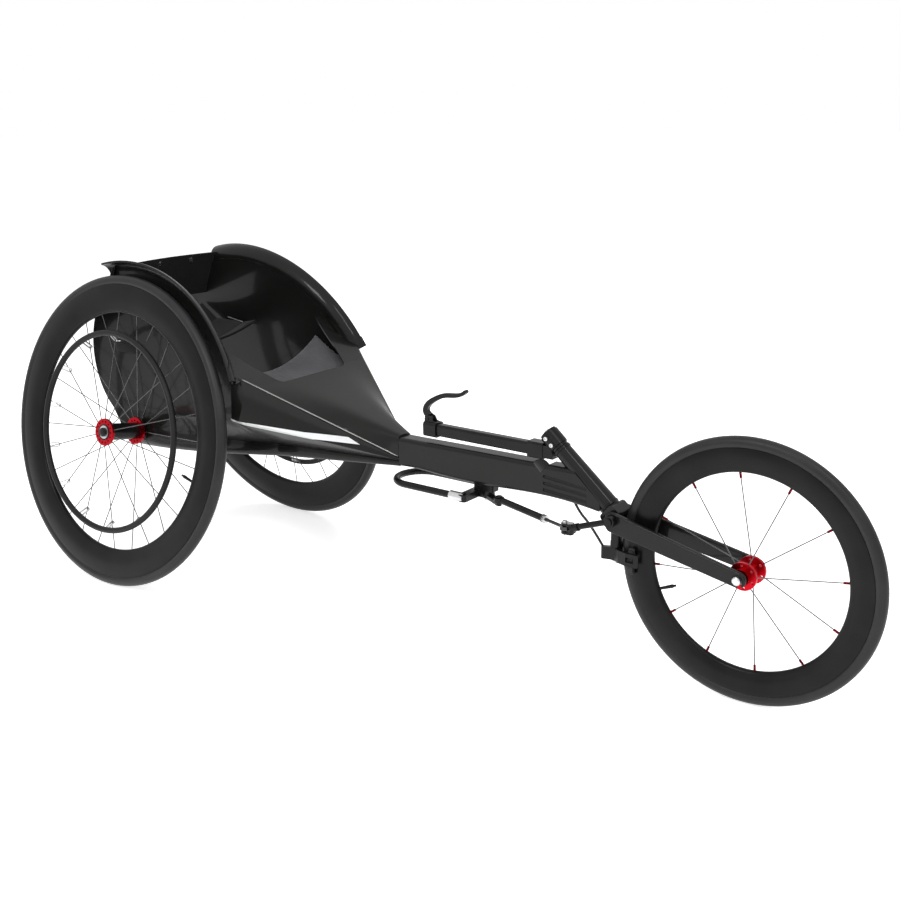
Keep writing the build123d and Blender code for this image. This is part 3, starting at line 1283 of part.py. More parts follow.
def rear_wheel_nodes():
    """Right-hand pieces of a rear wheel and its axle, by name."""
    return {
        "rear_tyre": tyre(AXLE_PLANE, REAR_WHEEL_R),
        "rear_rim": rim(AXLE_PLANE, REAR_RIM_INNER_R, REAR_WHEEL_R, REAR_SPOKE_PHASE - 32.1),
        "rear_spokes": spokes(AXLE_PLANE, REAR_SPOKES_PER_SIDE, REAR_SPOKE_PHASE, REAR_FLANGE_R,
                              REAR_FLANGE_OUT, REAR_FLANGE_IN, REAR_RIM_INNER_R),
        "rear_hub": rear_hub(AXLE_PLANE),
        "hub_flanges": rear_flanges(AXLE_PLANE),
        "hub_bearings": rear_bearings(AXLE_PLANE),
        "push_ring": push_ring(AXLE_PLANE),
        "ring_hooks": ring_hooks(AXLE_PLANE),
        "axle": rear_axle(AXLE_PLANE),
    }


def body_nodes(guard):
    """Tub, cowl, beam and what they carry, by name."""
    shell = tub_shell()
    cowl = dash_panel(shell, guard)
    beam = main_beam()
    socket = axle_socket(AXLE_PLANE)
    return {
        "tub_shell": shell,
        "dash_panel": cowl,
        "main_beam": beam,
        "head_tube": head_tube(),
        "headset_cups": headset_cups(),
        "axle_tube": axle_tube(),
        "axle_sockets": group([socket, left_of(socket)]),
        "kneel_plate": kneel_plate(),
        "knee_pad": knee_pad(shell, cowl),
        "seat_sling": seat_sling(shell),
        "back_upholstery": back_upholstery(shell, guard),
        "seat_straps": seat_straps(),
        "compensator_bracket": compensator_bracket(beam),
        "brake_cable": brake_cable(),
    }


def front_nodes():
    """Fork, front wheel, steering and brake pieces, by name."""
    crown = fork_crown()
    blade, blade_drilled = fork_blade()
    nodes = {
        "fork_crown": crown,
        "fork_blade_right": blade_drilled,
        "fork_blade_left": left_of(blade),
        "fork_dropouts": fork_dropouts(),
        "front_axle": front_axle(),
        "stem": stem(),
        "stem_bolts": stem_bolts(),
        "handlebar": handlebar(),
        "lever_bracket": lever_bracket(),
        "brake_lever": brake_lever(),
        "steering_arm": steering_arm(),
        "caliper_mount": caliper_mount(crown),
        "front_tyre": tyre(FRONT_PLANE, FRONT_WHEEL_R),
        "front_rim": rim(FRONT_PLANE, FRONT_RIM_INNER_R, FRONT_WHEEL_R, FRONT_SPOKE_PHASE + 195),
        "front_spokes": spokes(FRONT_PLANE, FRONT_SPOKES_PER_SIDE, FRONT_SPOKE_PHASE, FRONT_FLANGE_R,
                               FRONT_FLANGE_HALF, -FRONT_FLANGE_HALF, FRONT_RIM_INNER_R),
        "front_nipples": front_nipples(),
        "front_hub": front_hub(),
        "front_bearings": front_bearings(),
        "compensator_handle": compensator_handle(),
        "compensator_yoke": compensator_yoke(),
        "damper_cylinder": damper_cylinder(),
        "damper_rod": damper_rod(),
    }
    for name, shape in (("caliper_arm", caliper_arm()), ("brake_pad", brake_pad())):
        nodes[f"{name}_right"] = shape
        nodes[f"{name}_left"] = left_of(shape)
    return nodes


def build_all():
    """Every node of the chair by name."""
    guard = side_guard()
    nodes = {"side_guard_right": guard, "side_guard_left": left_of(guard)}
    for name, shape in rear_wheel_nodes().items():
        nodes[f"{name}_right"] = shape
        nodes[f"{name}_left"] = left_of(shape)
    nodes.update(body_nodes(guard))
    nodes.update(front_nodes())
    return nodes


os.makedirs("parts", exist_ok=True)
for node_name, node_shape in build_all().items():
    export_step(node_shape, f"parts/{node_name}.step")
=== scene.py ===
"""Racing wheelchair: finishes, turned wheels, upholstery, cable, pinstripe, light and camera."""
import json
import logging
import math
from collections.abc import Callable, Sequence
from dataclasses import dataclass
from enum import Enum

import bpy
from mathutils import Matrix, Vector


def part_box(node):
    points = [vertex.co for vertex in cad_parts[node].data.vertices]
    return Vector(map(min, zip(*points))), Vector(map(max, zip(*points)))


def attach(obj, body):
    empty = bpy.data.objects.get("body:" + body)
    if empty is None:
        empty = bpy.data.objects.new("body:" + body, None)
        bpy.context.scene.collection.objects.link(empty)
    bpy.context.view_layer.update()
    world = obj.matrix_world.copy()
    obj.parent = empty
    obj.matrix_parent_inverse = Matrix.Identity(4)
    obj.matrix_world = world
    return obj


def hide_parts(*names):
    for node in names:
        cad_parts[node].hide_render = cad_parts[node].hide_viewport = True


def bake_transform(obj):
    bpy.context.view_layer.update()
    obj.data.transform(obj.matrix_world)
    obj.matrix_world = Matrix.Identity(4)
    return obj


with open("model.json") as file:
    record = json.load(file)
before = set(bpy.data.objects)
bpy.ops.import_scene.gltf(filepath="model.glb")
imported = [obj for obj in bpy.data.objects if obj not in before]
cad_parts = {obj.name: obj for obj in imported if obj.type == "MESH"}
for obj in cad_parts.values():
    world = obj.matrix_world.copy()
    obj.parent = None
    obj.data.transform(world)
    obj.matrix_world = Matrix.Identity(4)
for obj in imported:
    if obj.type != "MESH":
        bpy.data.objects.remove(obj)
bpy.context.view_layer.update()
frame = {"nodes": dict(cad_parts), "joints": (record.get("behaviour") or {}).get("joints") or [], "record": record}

log = logging.getLogger("wheelchair")
Point = tuple[float, float, float]
Section = list[tuple[float, float]]
JOINTS = {joint["name"]: joint for joint in frame["joints"]}
MERGE_M = 0.00001  # vertices nearer than this are one
PLAIN_CREASE_DEGREES = 28.0
CREASE_DEGREES = {"tub_shell": 17.0, "dash_panel": 17.0, "side_guard_right": 24.0, "side_guard_left": 24.0}
SILVER_SPOTS = {  # where a black piece shows its silver screws and ends
    "compensator_yoke": lambda spot: spot.x < 0.152,
    "compensator_bracket": lambda spot: spot.z < 0.2700,
    "caliper_mount": lambda spot: spot.z < 0.2095,
    "steering_arm": lambda spot: spot.x < 0.400 and spot.z > 0.2742,
    "damper_cylinder": lambda spot: spot.x > 0.3400,
}


class Side(Enum):
    """Side of the chair, as the rider sits in it."""

    RIGHT = "right"
    LEFT = "left"

    @property
    def sign(self) -> int:
        """Sign of Y on this side."""
        return -1 if self is Side.RIGHT else 1


class Slot(Enum):
    """Material slots of the record."""

    CARBON = "carbon_gloss"
    RIM = "rim_black"
    TYRE = "tyre_black"
    RING = "ring_rubber"
    SPOKE = "spoke_black"
    SILVER = "silver_metal"
    BEARING = "bearing_steel"
    RED = "red_metal"
    BLACK_METAL = "black_metal"
    POLISHED = "polished_steel"
    PAD = "pad_rubber"
    CABLE = "cable_black"
    BLACK_CLOTH = "black_fabric"
    GREY_CLOTH = "grey_fabric"


# Node graphs


class Graph:
    """Small builder for a node tree."""

    def __init__(self, tree: bpy.types.NodeTree) -> None:
        """Work on one tree.

        Args:
            tree: Node tree of a material or a world.
        """
        self.tree = tree

    def add(self, kind: str, **values: object) -> bpy.types.Node:
        """Add a node and set its properties or inputs.

        Args:
            kind: Node type without the ShaderNode prefix.
            values: Property names, or input names with underscores for spaces.

        Returns:
            The new node.
        """
        node = self.tree.nodes.new("ShaderNode" + kind)
        for key, value in values.items():
            if hasattr(node, key):
                setattr(node, key, value)
            else:
                node.inputs[key.replace("_", " ")].default_value = value
        return node

    def link(self, start: bpy.types.NodeSocket, end: bpy.types.NodeSocket) -> None:
        """Join two sockets."""
        self.tree.links.new(start, end)

    def coords(self) -> bpy.types.NodeSocket:
        """Object coordinates, in metres."""
        return self.add("TexCoord").outputs["Object"]

    def axes(self) -> list[bpy.types.NodeSocket]:
        """X, Y and Z of the object coordinates."""
        split = self.add("SeparateXYZ")
        self.link(self.coords(), split.inputs["Vector"])
        return [split.outputs[axis] for axis in "XYZ"]

    def noise(self, scale: float, detail: float = 2.0,
              stretch: Point = (1.0, 1.0, 1.0)) -> bpy.types.NodeSocket:
        """Noise on object coordinates, stretched along an axis where asked."""
        mapping = self.add("Mapping")
        mapping.inputs["Scale"].default_value = stretch
        self.link(self.coords(), mapping.inputs["Vector"])
        texture = self.add("TexNoise", Scale=scale, Detail=detail)
        self.link(mapping.outputs["Vector"], texture.inputs["Vector"])
        return texture.outputs["Fac"]

    def ramp(self, value: bpy.types.NodeSocket, low: float, high: float, first: tuple,
             last: tuple) -> bpy.types.NodeSocket:
        """Colour ramp from one colour to another, between two positions."""
        node = self.add("ValToRGB")
        start, end = node.color_ramp.elements
        start.position, end.position = low, high
        start.color, end.color = (*first, 1), (*last, 1)
        self.link(value, node.inputs["Fac"])
        return node.outputs["Color"]

    def remap(self, value: bpy.types.NodeSocket, low: float, high: float) -> bpy.types.NodeSocket:
        """Map a 0 to 1 value onto a range."""
        node = self.add("MapRange")
        node.inputs["To Min"].default_value, node.inputs["To Max"].default_value = low, high
        self.link(value, node.inputs["Value"])
        return node.outputs["Result"]

    def maths(self, operation: str, first: object, second: object = 0.0) -> bpy.types.NodeSocket:
        """One math node on sockets or numbers."""
        node = self.add("Math", operation=operation)
        for index, value in enumerate((first, second)):
            if isinstance(value, bpy.types.NodeSocket):
                self.link(value, node.inputs[index])
            else:
                node.inputs[index].default_value = value
        return node.outputs["Value"]

    def blend(self, first: object, share: float, second: object) -> bpy.types.NodeSocket:
        """Mix of two tones, the first by its share and the second by the rest of one."""
        rest = self.maths("MULTIPLY", second, 1.0 - share)
        return self.maths("ADD", self.maths("MULTIPLY", first, share), rest)

    def backdrop_rays(self) -> bpy.types.NodeSocket:
        """1 for the rays that see the backdrop: camera, glossy and transmission rays."""
        rays = self.add("LightPath").outputs
        seen = self.maths("MAXIMUM", rays["Is Camera Ray"], rays["Is Glossy Ray"])
        return self.maths("MAXIMUM", seen, rays["Is Transmission Ray"])


class Paint(Graph):
    """Node tree of one material, round its Principled shader."""

    def __init__(self, name: str) -> None:
        """Start a material with a bare Principled shader.

        Args:
            name: Material name.
        """
        self.material = bpy.data.materials.new(name)
        self.material.use_nodes = True
        super().__init__(self.material.node_tree)
        self.shader = self.tree.nodes["Principled BSDF"]

    def set(self, **sockets: float | tuple) -> None:
        """Write constants on the shader's own sockets, with underscores for spaces."""
        for key, value in sockets.items():
            self.shader.inputs[key.replace("_", " ")].default_value = value

    def bump(self, height: bpy.types.NodeSocket, distance: float, strength: float = 1.0) -> None:
        """Raise the surface by a height field, over a distance in metres."""
        node = self.add("Bump", Strength=strength, Distance=distance)
        self.link(height, node.inputs["Height"])
        self.link(node.outputs["Normal"], self.shader.inputs["Normal"])

    def colour(self, socket: bpy.types.NodeSocket) -> None:
        """Feed the base colour."""
        self.link(socket, self.shader.inputs["Base Color"])

    def rough(self, socket: bpy.types.NodeSocket) -> None:
        """Feed the roughness."""
        self.link(socket, self.shader.inputs["Roughness"])


# Finishes


@dataclass(frozen=True)
class Carbon:
    """Clear-coated twill carbon."""

    name: str
    tow: float = 0.0011
    dark: tuple = (0.0022, 0.0022, 0.0021)
    light: tuple = (0.0090, 0.0090, 0.0084)
    coat: float = 0.28
    coat_rough: float = 0.08
    rough: float = 0.40
    skew_along: float = 0.37
    skew_across: float = 0.71

    def steps(self, graph: Graph, run: bpy.types.NodeSocket, side: bpy.types.NodeSocket,
              skew: float) -> bpy.types.NodeSocket:
        """Whole tows counted along one axis, skewed by the side axis."""
        rate = 1.0 / (4.0 * self.tow)
        slant = graph.maths("MULTIPLY", graph.maths("ADD", run, graph.maths("MULTIPLY", side, skew)), rate)
        return graph.maths("FLOOR", graph.maths("MULTIPLY", slant, 4.0))

    def twill(self, graph: Graph) -> bpy.types.NodeSocket:
        """Twill, two tows over and two under: 1 on the upper tows."""
        x, y, z = graph.axes()
        along = self.steps(graph, x, y, self.skew_along)
        across = self.steps(graph, z, y, self.skew_across)
        phase = graph.maths("FRACT", graph.maths("MULTIPLY", graph.maths("ADD", along, across), 0.25))
        return graph.maths("LESS_THAN", phase, 0.5)

    def build(self) -> bpy.types.Material:
        """Build the material."""
        graph = Paint(self.name)
        weave = self.twill(graph)
        cloud = graph.noise(9.0, 3.0)
        graph.colour(graph.ramp(graph.blend(weave, 0.55, cloud), 0.15, 0.95, self.dark, self.light))
        graph.rough(graph.remap(weave, self.rough - 0.06, self.rough + 0.08))
        height = graph.maths("ADD", graph.maths("MULTIPLY", weave, 0.25), graph.noise(60.0))
        graph.bump(height, 0.0001, 0.15)
        graph.set(Coat_Weight=self.coat, Coat_Roughness=self.coat_rough, Specular_IOR_Level=0.10)
        return graph.material


@dataclass(frozen=True)
class Metal:
    """Turned, anodised or painted metal with fine grain and cloudy wear."""

    name: str
    base: tuple
    metallic: float = 1.0
    rough: float = 0.3
    spread: float = 0.12
    grain: Point = (40.0, 400.0, 400.0)
    specular: float = 0.5

    def build(self) -> bpy.types.Material:
        """Build the material."""
        graph = Paint(self.name)
        cloud = graph.noise(35.0, 4.0)
        grain = graph.noise(4.0, 2.0, self.grain)
        worn = tuple(min(1.0, value * 1.35 + 0.004) for value in self.base)
        graph.colour(graph.ramp(cloud, 0.3, 0.8, self.base, worn))
        mixed = graph.blend(cloud, 0.5, grain)
        graph.rough(graph.remap(mixed, self.rough - self.spread / 2, self.rough + self.spread))
        graph.bump(grain, 0.00005, 0.3)
        graph.set(Metallic=self.metallic, Specular_IOR_Level=self.specular)
        return graph.material


@dataclass(frozen=True)
class Rubber:
    """Matt rubber with a fine moulded grain and a little dust."""

    name: str
    base: tuple
    rough: float = 0.62
    grain: float = 420.0
    depth: float = 0.00012
    specular: float = 0.3

    def build(self) -> bpy.types.Material:
        """Build the material."""
        graph = Paint(self.name)
        dust = graph.noise(14.0, 5.0)
        dusty = tuple(value * 1.7 + 0.004 for value in self.base)
        graph.colour(graph.ramp(dust, 0.35, 0.85, self.base, dusty))
        graph.rough(graph.remap(dust, self.rough - 0.08, self.rough + 0.10))
        graph.bump(graph.noise(self.grain, 3.0), self.depth, 0.6)
        graph.set(Specular_IOR_Level=self.specular)
        return graph.material


@dataclass(frozen=True)
class Cloth:
    """Knitted or woven cloth with a visible thread and soft sheen."""

    name: str
    dark: tuple
    light: tuple
    thread: float = 0.0011
    rough: float = 0.85
    sheen: float = 0.25
    skew: float = 0.83

    def build(self) -> bpy.types.Material:
        """Build the material."""
        graph = Paint(self.name)
        x, y, z = graph.axes()
        rate = math.pi / self.thread
        warp = graph.maths("SINE", graph.maths("MULTIPLY", x, rate))
        slant = graph.maths("ADD", y, graph.maths("MULTIPLY", z, self.skew))
        weft = graph.maths("SINE", graph.maths("MULTIPLY", slant, rate))
        knit = graph.remap(graph.maths("MULTIPLY", warp, weft), 0.0, 1.0)
        cloud = graph.noise(22.0, 4.0)
        graph.colour(graph.ramp(graph.blend(knit, 0.35, cloud), 0.2, 0.85, self.dark, self.light))
        graph.rough(graph.remap(cloud, self.rough - 0.06, min(1.0, self.rough + 0.08)))
        graph.bump(graph.maths("ADD", knit, cloud), 0.0003, 0.5)
        graph.set(Sheen_Weight=self.sheen, Sheen_Roughness=0.45, Specular_IOR_Level=0.25)
        return graph.material


FINISHES: dict[Slot, Carbon | Metal | Rubber | Cloth] = {
    Slot.CARBON: Carbon("clear_coated_carbon"),
    Slot.RIM: Rubber("satin_rim_carbon", (0.0022, 0.0022, 0.0023), rough=0.30, grain=160.0, depth=0.00004,
                     specular=0.16),
    Slot.TYRE: Rubber("tyre_rubber", (0.0075, 0.0075, 0.0082), rough=0.42, specular=0.30),
    Slot.RING: Rubber("push_ring_coating", (0.005, 0.005, 0.005), rough=0.45, grain=700.0, specular=0.22),
    Slot.SPOKE: Metal("bladed_spoke_steel", (0.085, 0.085, 0.088), rough=0.24),
    Slot.SILVER: Metal("machined_aluminium", (0.50, 0.50, 0.51), rough=0.28),
    Slot.BEARING: Metal("bearing_steel", (0.45, 0.45, 0.46), rough=0.3),
    Slot.RED: Metal("red_anodised", (0.36, 0.003, 0.010), rough=0.30),
    Slot.BLACK_METAL: Metal("black_anodised", (0.0022, 0.0022, 0.0023), metallic=0.0, rough=0.26,
                            specular=0.20),
    Slot.POLISHED: Metal("polished_rod", (0.05, 0.05, 0.052), rough=0.16, spread=0.05),
    Slot.PAD: Rubber("brake_pad_rubber", (0.02, 0.02, 0.02)),
    Slot.CABLE: Rubber("cable_housing", (0.012, 0.012, 0.012), rough=0.35, grain=900.0),
    Slot.BLACK_CLOTH: Cloth("black_webbing", (0.004, 0.004, 0.0045), (0.012, 0.012, 0.013), sheen=0.08),
    Slot.GREY_CLOTH: Cloth("grey_neoprene", (0.040, 0.040, 0.043), (0.085, 0.085, 0.090), thread=0.0008),
}


class FinishBook:
    """All finishes, built once."""

    def __init__(self) -> None:
        """Build every finish."""
        self.materials = {slot: finish.build() for slot, finish in FINISHES.items()}
        self.stripe = self._stripe()
        self.nipple = Metal("dark_red_anodised", (0.10, 0.002, 0.005), rough=0.35).build()
        # Painted highlight: light grey, shiny finish of the bead along the nose ridge, standing in for the
        # highlight where light catches the ridge.
        self.edge = Metal("painted_ridge_highlight", (0.24, 0.24, 0.23), metallic=0.8, rough=0.22).build()

    def _stripe(self) -> bpy.types.Material:
        """White film of the tapered stripe."""
        graph = Paint("white_film")
        graph.colour(graph.ramp(graph.noise(40.0), 0.2, 0.8, (0.66, 0.67, 0.68), (0.71, 0.72, 0.73)))
        graph.set(Roughness=0.3, Coat_Weight=0.6, Coat_Roughness=0.1)
        return graph.material

    def dress(self, piece: bpy.types.Object, slot: Slot,
              material: bpy.types.Material | None = None) -> None:
        """Give a piece one material, which is its slot's own unless another is named."""
        piece.data.materials.clear()
        piece.data.materials.append(material or self.materials[slot])

    def name_slot(self, piece: bpy.types.Object, slot: Slot,
                  material: bpy.types.Material | None = None) -> None:
        """Dress a new piece and log its face count."""
        self.dress(piece, slot, material)
        log.info("%s: %d faces", piece.name, len(piece.data.polygons))

    def finish_piece(self, piece: bpy.types.Object, slot: Slot, body: str,
                     material: bpy.types.Material | None = None) -> None:
        """Dress a new piece, log its face count and let it ride on a body."""
        self.name_slot(piece, slot, material)
        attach(piece, body)


# Mesh helpers


def deselect() -> None:
    """Leave edit mode and select nothing."""
    if bpy.context.object and bpy.context.object.mode != "OBJECT":
        bpy.ops.object.mode_set(mode="OBJECT")
    bpy.ops.object.select_all(action="DESELECT")


def activate(piece: bpy.types.Object) -> None:
    """Select one piece alone and make it active."""
    deselect()
    piece.select_set(True)
    bpy.context.view_layer.objects.active = piece


def settle(piece: bpy.types.Object, place: Matrix) -> None:
    """Move a finished mesh to its place and leave its object at the origin."""
    piece.data.transform(place @ piece.matrix_world)
    piece.matrix_world = Matrix.Identity(4)


def place_by(centre: Vector, columns: Sequence[Vector]) -> Matrix:
    """Matrix that puts the origin at a centre and the three axes along three columns."""
    matrix = Matrix.Translation(centre)
    for index, column in enumerate(columns):
        for row in range(3):
            matrix[row][index] = column[row]
    return matrix


def point_z(run: Vector) -> Matrix:
    """Turn that points Z along a line."""
    return run.to_track_quat("Z", "Y").to_matrix().to_4x4()


def spin_section(name: str, section: Sequence[tuple[float, float]], steps: int) -> bpy.types.Object:
    """Turn a closed section about Z.

    Args:
        name: Piece name.
        section: Points (radius, height) of the closed section, in order.
        steps: Facets round the axis.

    Returns:
        The turned piece, centred on the origin.
    """
    deselect()
    bpy.ops.mesh.primitive_circle_add(vertices=len(section), radius=0.01)
    piece = bpy.context.object
    piece.name = name
    for vertex, (radius, height) in zip(piece.data.vertices, section):
        vertex.co = (radius, 0.0, height)
    bpy.ops.object.mode_set(mode="EDIT")
    bpy.ops.mesh.select_all(action="SELECT")
    bpy.ops.mesh.spin(steps=steps, angle=math.tau, center=(0, 0, 0), axis=(0, 0, 1), use_auto_merge=True)
    bpy.ops.mesh.select_all(action="SELECT")
    bpy.ops.mesh.remove_doubles(threshold=MERGE_M)
    bpy.ops.mesh.normals_make_consistent(inside=False)
    bpy.ops.object.mode_set(mode="OBJECT")
    return piece


def smooth(piece: bpy.types.Object, degrees: float = 40.0) -> None:
    """Shade a piece smooth below an edge angle."""
    activate(piece)
    bpy.ops.object.shade_smooth_by_angle(angle=math.radians(degrees))


def pick_faces(piece: bpy.types.Object, test: Callable[[Vector, Vector], bool]) -> None:
    """Select, in edit mode, the faces whose centre and normal pass a test."""
    bpy.ops.mesh.select_mode(type="FACE")
    bpy.ops.mesh.select_all(action="DESELECT")
    bpy.ops.object.mode_set(mode="OBJECT")
    for face in piece.data.polygons:
        face.select = test(face.center, face.normal)
    bpy.ops.object.mode_set(mode="EDIT")


def merged_copy(name: str, node: str) -> bpy.types.Object:
    """Copy a node of the frame and merge its loose triangles."""
    deselect()
    piece = bpy.data.objects.new(name, frame["nodes"][node].data.copy())
    bpy.context.scene.collection.objects.link(piece)
    activate(piece)
    bpy.ops.object.mode_set(mode="EDIT")
    bpy.ops.mesh.select_all(action="SELECT")
    bpy.ops.mesh.remove_doubles(threshold=MERGE_M)
    bpy.ops.mesh.normals_make_consistent(inside=False)
    bpy.ops.object.mode_set(mode="OBJECT")
    return piece


def surface_point(piece: bpy.types.Object, start: Vector,
                  direction: Vector) -> tuple[Vector, Vector] | None:
    """First point, and its normal, where a line from outside meets a piece."""
    bpy.context.view_layer.update()
    hit, spot, normal, _ = piece.ray_cast(start, direction)
    return (spot, normal) if hit else None


def face_out(piece: bpy.types.Object, side: Side) -> None:
    """Turn an open sheet's faces away from the centre plane."""
    turned = sum(face.normal.y * face.area for face in piece.data.polygons)
    if turned * side.sign < 0:
        activate(piece)
        bpy.ops.object.mode_set(mode="EDIT")
        bpy.ops.mesh.select_all(action="SELECT")
        bpy.ops.mesh.flip_normals()
        bpy.ops.object.mode_set(mode="OBJECT")


def polish(node: bpy.types.Object, degrees: float) -> None:
    """Shade a node of the frame smooth, with its edges kept sharp, and leave its mesh as it is."""
    node.data.polygons.foreach_set("use_smooth", [True] * len(node.data.polygons))
    weld = node.modifiers.new("joined_facets", "WELD")
    weld.merge_threshold = MERGE_M
    split = node.modifiers.new("sharp_edges", "EDGE_SPLIT")
    split.split_angle = math.radians(degrees)
    split.use_edge_sharp = False
    weigh = node.modifiers.new("flat_faces_flat", "WEIGHTED_NORMAL")
    weigh.mode = "FACE_AREA"
    weigh.weight = 80


# Wheels


@dataclass
class Wheel:
    """Tyre, deep rim and valve of one wheel, finer than the frame's, and its push ring if it has one.

    Sizes are in metres, angles in degrees where a name says so, else in radians round the section.
    """

    tag: str
    joint: str
    radius: float
    rim_inner: float
    valve_degrees: float
    ring_radius: float = 0.0
    ring_tube: float = 0.0064
    ring_offset: float = 0.0265
    ring_points: int = 20
    tyre_r: float = 0.0115
    tyre_points: int = 44
    tread_reach: float = 0.8
    tread_rise: float = 0.0003
    wall_line: float = 1.25
    wall_line_half: float = 0.08
    rim_nose: float = 0.007
    rim_half: float = 0.0114
    edge_half: float = 0.0095
    edge_drop: float = 0.0009
    bed_gap: float = 0.0003
    widest_share: float = 0.62
    flank_points: int = 12
    valve_radius: float = 0.0026
    valve_length: float = 0.026
    steps: int = 160

    def place(self) -> Matrix:
        """Frame of the wheel: Z along the axle, outboard on a rear wheel, Y up in its plane."""
        joint = JOINTS[self.joint]
        centre, axle = Vector(joint["pos_m"]), Vector(joint["axis"]).normalized()
        if centre.y <= 0:
            axle = -axle
        along = Vector((1, 0, 0))
        return place_by(centre, (along, axle.cross(along), axle))

    def node(self, kind: str) -> str:
        """Name of the frame's node that a turned piece stands for."""
        position, _, side = self.tag.partition("_")
        if kind == "ring":
            return f"push_ring_{side}"
        return f"{position}_{kind}_{side}" if side else f"{position}_{kind}"

    def tyre_section(self) -> Section:
        """Tyre section: a round carcass with a slightly raised tread band and a line on each sidewall."""
        middle = self.radius - self.tyre_r
        points = []
        for index in range(self.tyre_points):
            angle = math.tau * index / self.tyre_points
            from_tread = min(angle, math.tau - angle)
            swell = self.tyre_r if from_tread < self.tread_reach else self.tyre_r - self.tread_rise
            if abs(from_tread - self.wall_line) < self.wall_line_half:
                swell -= self.tread_rise
            points.append((middle + swell * math.cos(angle), swell * math.sin(angle)))
        return points

    def rim_section(self) -> Section:
        """Rim section: blunt nose, bulged flanks and a bed under the tyre."""
        nose, half_edge, wide = self.rim_nose, self.edge_half, self.rim_half
        centre = self.radius - self.tyre_r
        bed = self.tyre_r + self.bed_gap
        edge = centre - math.sqrt(bed ** 2 - half_edge ** 2)
        widest = self.rim_inner + (edge - self.rim_inner) * self.widest_share
        shoulder = self.rim_inner + nose
        half = [(self.rim_inner, 0.0)]
        for turn in (0.35, 0.7, 1.05, 1.4):
            half.append((shoulder - nose * math.cos(turn), nose * math.sin(turn)))
        for index in range(1, self.flank_points + 1):
            radius = shoulder + (edge - shoulder) * index / (self.flank_points + 1)
            rise = math.sin(min((radius - shoulder) / (widest - shoulder), 1.0) * math.pi / 2)
            fall = max(0.0, (radius - widest) / (edge - widest)) ** 2
            half.append((radius, nose + (wide - nose) * rise - (wide - half_edge) * fall))
        lip = half_edge - self.edge_drop
        half += [(edge - 0.0002, half_edge - 0.0001), (edge + self.bed_gap, lip)]
        reach = math.asin(lip / bed)
        for part in (0.75, 0.5, 0.25):
            half.append((centre - bed * math.cos(reach * part), bed * math.sin(reach * part)))
        mirrored = [(radius, -height) for radius, height in reversed(half[1:])]
        return half + [(centre - bed, 0.0)] + mirrored

    def ring_section(self) -> Section:
        """Push ring section: a round tube under a moulded coating."""
        points = []
        for index in range(self.ring_points):
            angle = math.tau * index / self.ring_points
            points.append((self.ring_radius + self.ring_tube * math.cos(angle),
                           self.ring_offset + self.ring_tube * math.sin(angle)))
        return points

    def valve(self) -> bpy.types.Object:
        """Valve stem standing in from the rim, with its cap and lock ring."""
        deselect()
        bpy.ops.mesh.primitive_cylinder_add(vertices=16, radius=self.valve_radius, depth=self.valve_length)
        piece = bpy.context.object
        piece.name = f"{self.tag}_valve"
        bpy.ops.object.mode_set(mode="EDIT")
        for share, grow in ((1.35, 0.0), (1.0, -0.004), (0.62, 0.0), (1.0, -0.003)):
            pick_faces(piece, lambda centre, normal: normal.z < -0.9)
            if share != 1.0:
                bpy.ops.transform.resize(value=(share, share, 1.0))
            if grow:
                pick_faces(piece, lambda centre, normal: normal.z < -0.9)
                bpy.ops.mesh.extrude_region_move(TRANSFORM_OT_translate={"value": (0, 0, grow)})
        bpy.ops.object.mode_set(mode="OBJECT")
        reach = self.rim_inner - self.valve_length / 2
        turn = math.radians(self.valve_degrees)
        aim = Matrix(((math.sin(turn), 0, math.cos(turn), reach * math.cos(turn)),
                      (-math.cos(turn), 0, math.sin(turn), reach * math.sin(turn)),
                      (0, -1, 0, 0), (0, 0, 0, 1)))
        settle(piece, self.place() @ aim)
        return piece

    def build(self, book: "FinishBook") -> None:
        """Turn, place and dress the pieces, and let them stand for the frame's."""
        sections = [("tyre", self.tyre_section(), Slot.TYRE), ("rim", self.rim_section(), Slot.RIM)]
        if self.ring_radius:
            sections.append(("ring", self.ring_section(), Slot.RING))
        body = JOINTS[self.joint]["child"]
        for kind, section, slot in sections:
            piece = spin_section(f"{self.tag}_{kind}_turned", section, self.steps)
            settle(piece, self.place())
            smooth(piece)
            book.finish_piece(piece, slot, body)
            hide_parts(self.node(kind))
        valve = self.valve()
        smooth(valve)
        book.finish_piece(valve, Slot.BLACK_METAL, body)


# Upholstery


@dataclass(frozen=True)
class Cushion:
    """One padded piece and how it is blown up from its solid.

    Attributes:
        name: Piece name.
        node: The soft solid that it stands for.
        voxel: Grain of the even mesh, in metres.
        inset: How much smaller than the solid it starts, in metres.
        cap: The most that a point may move, in metres.
        slot: Its finish.
    """

    name: str
    node: str
    voxel: float
    inset: float
    cap: float
    slot: Slot


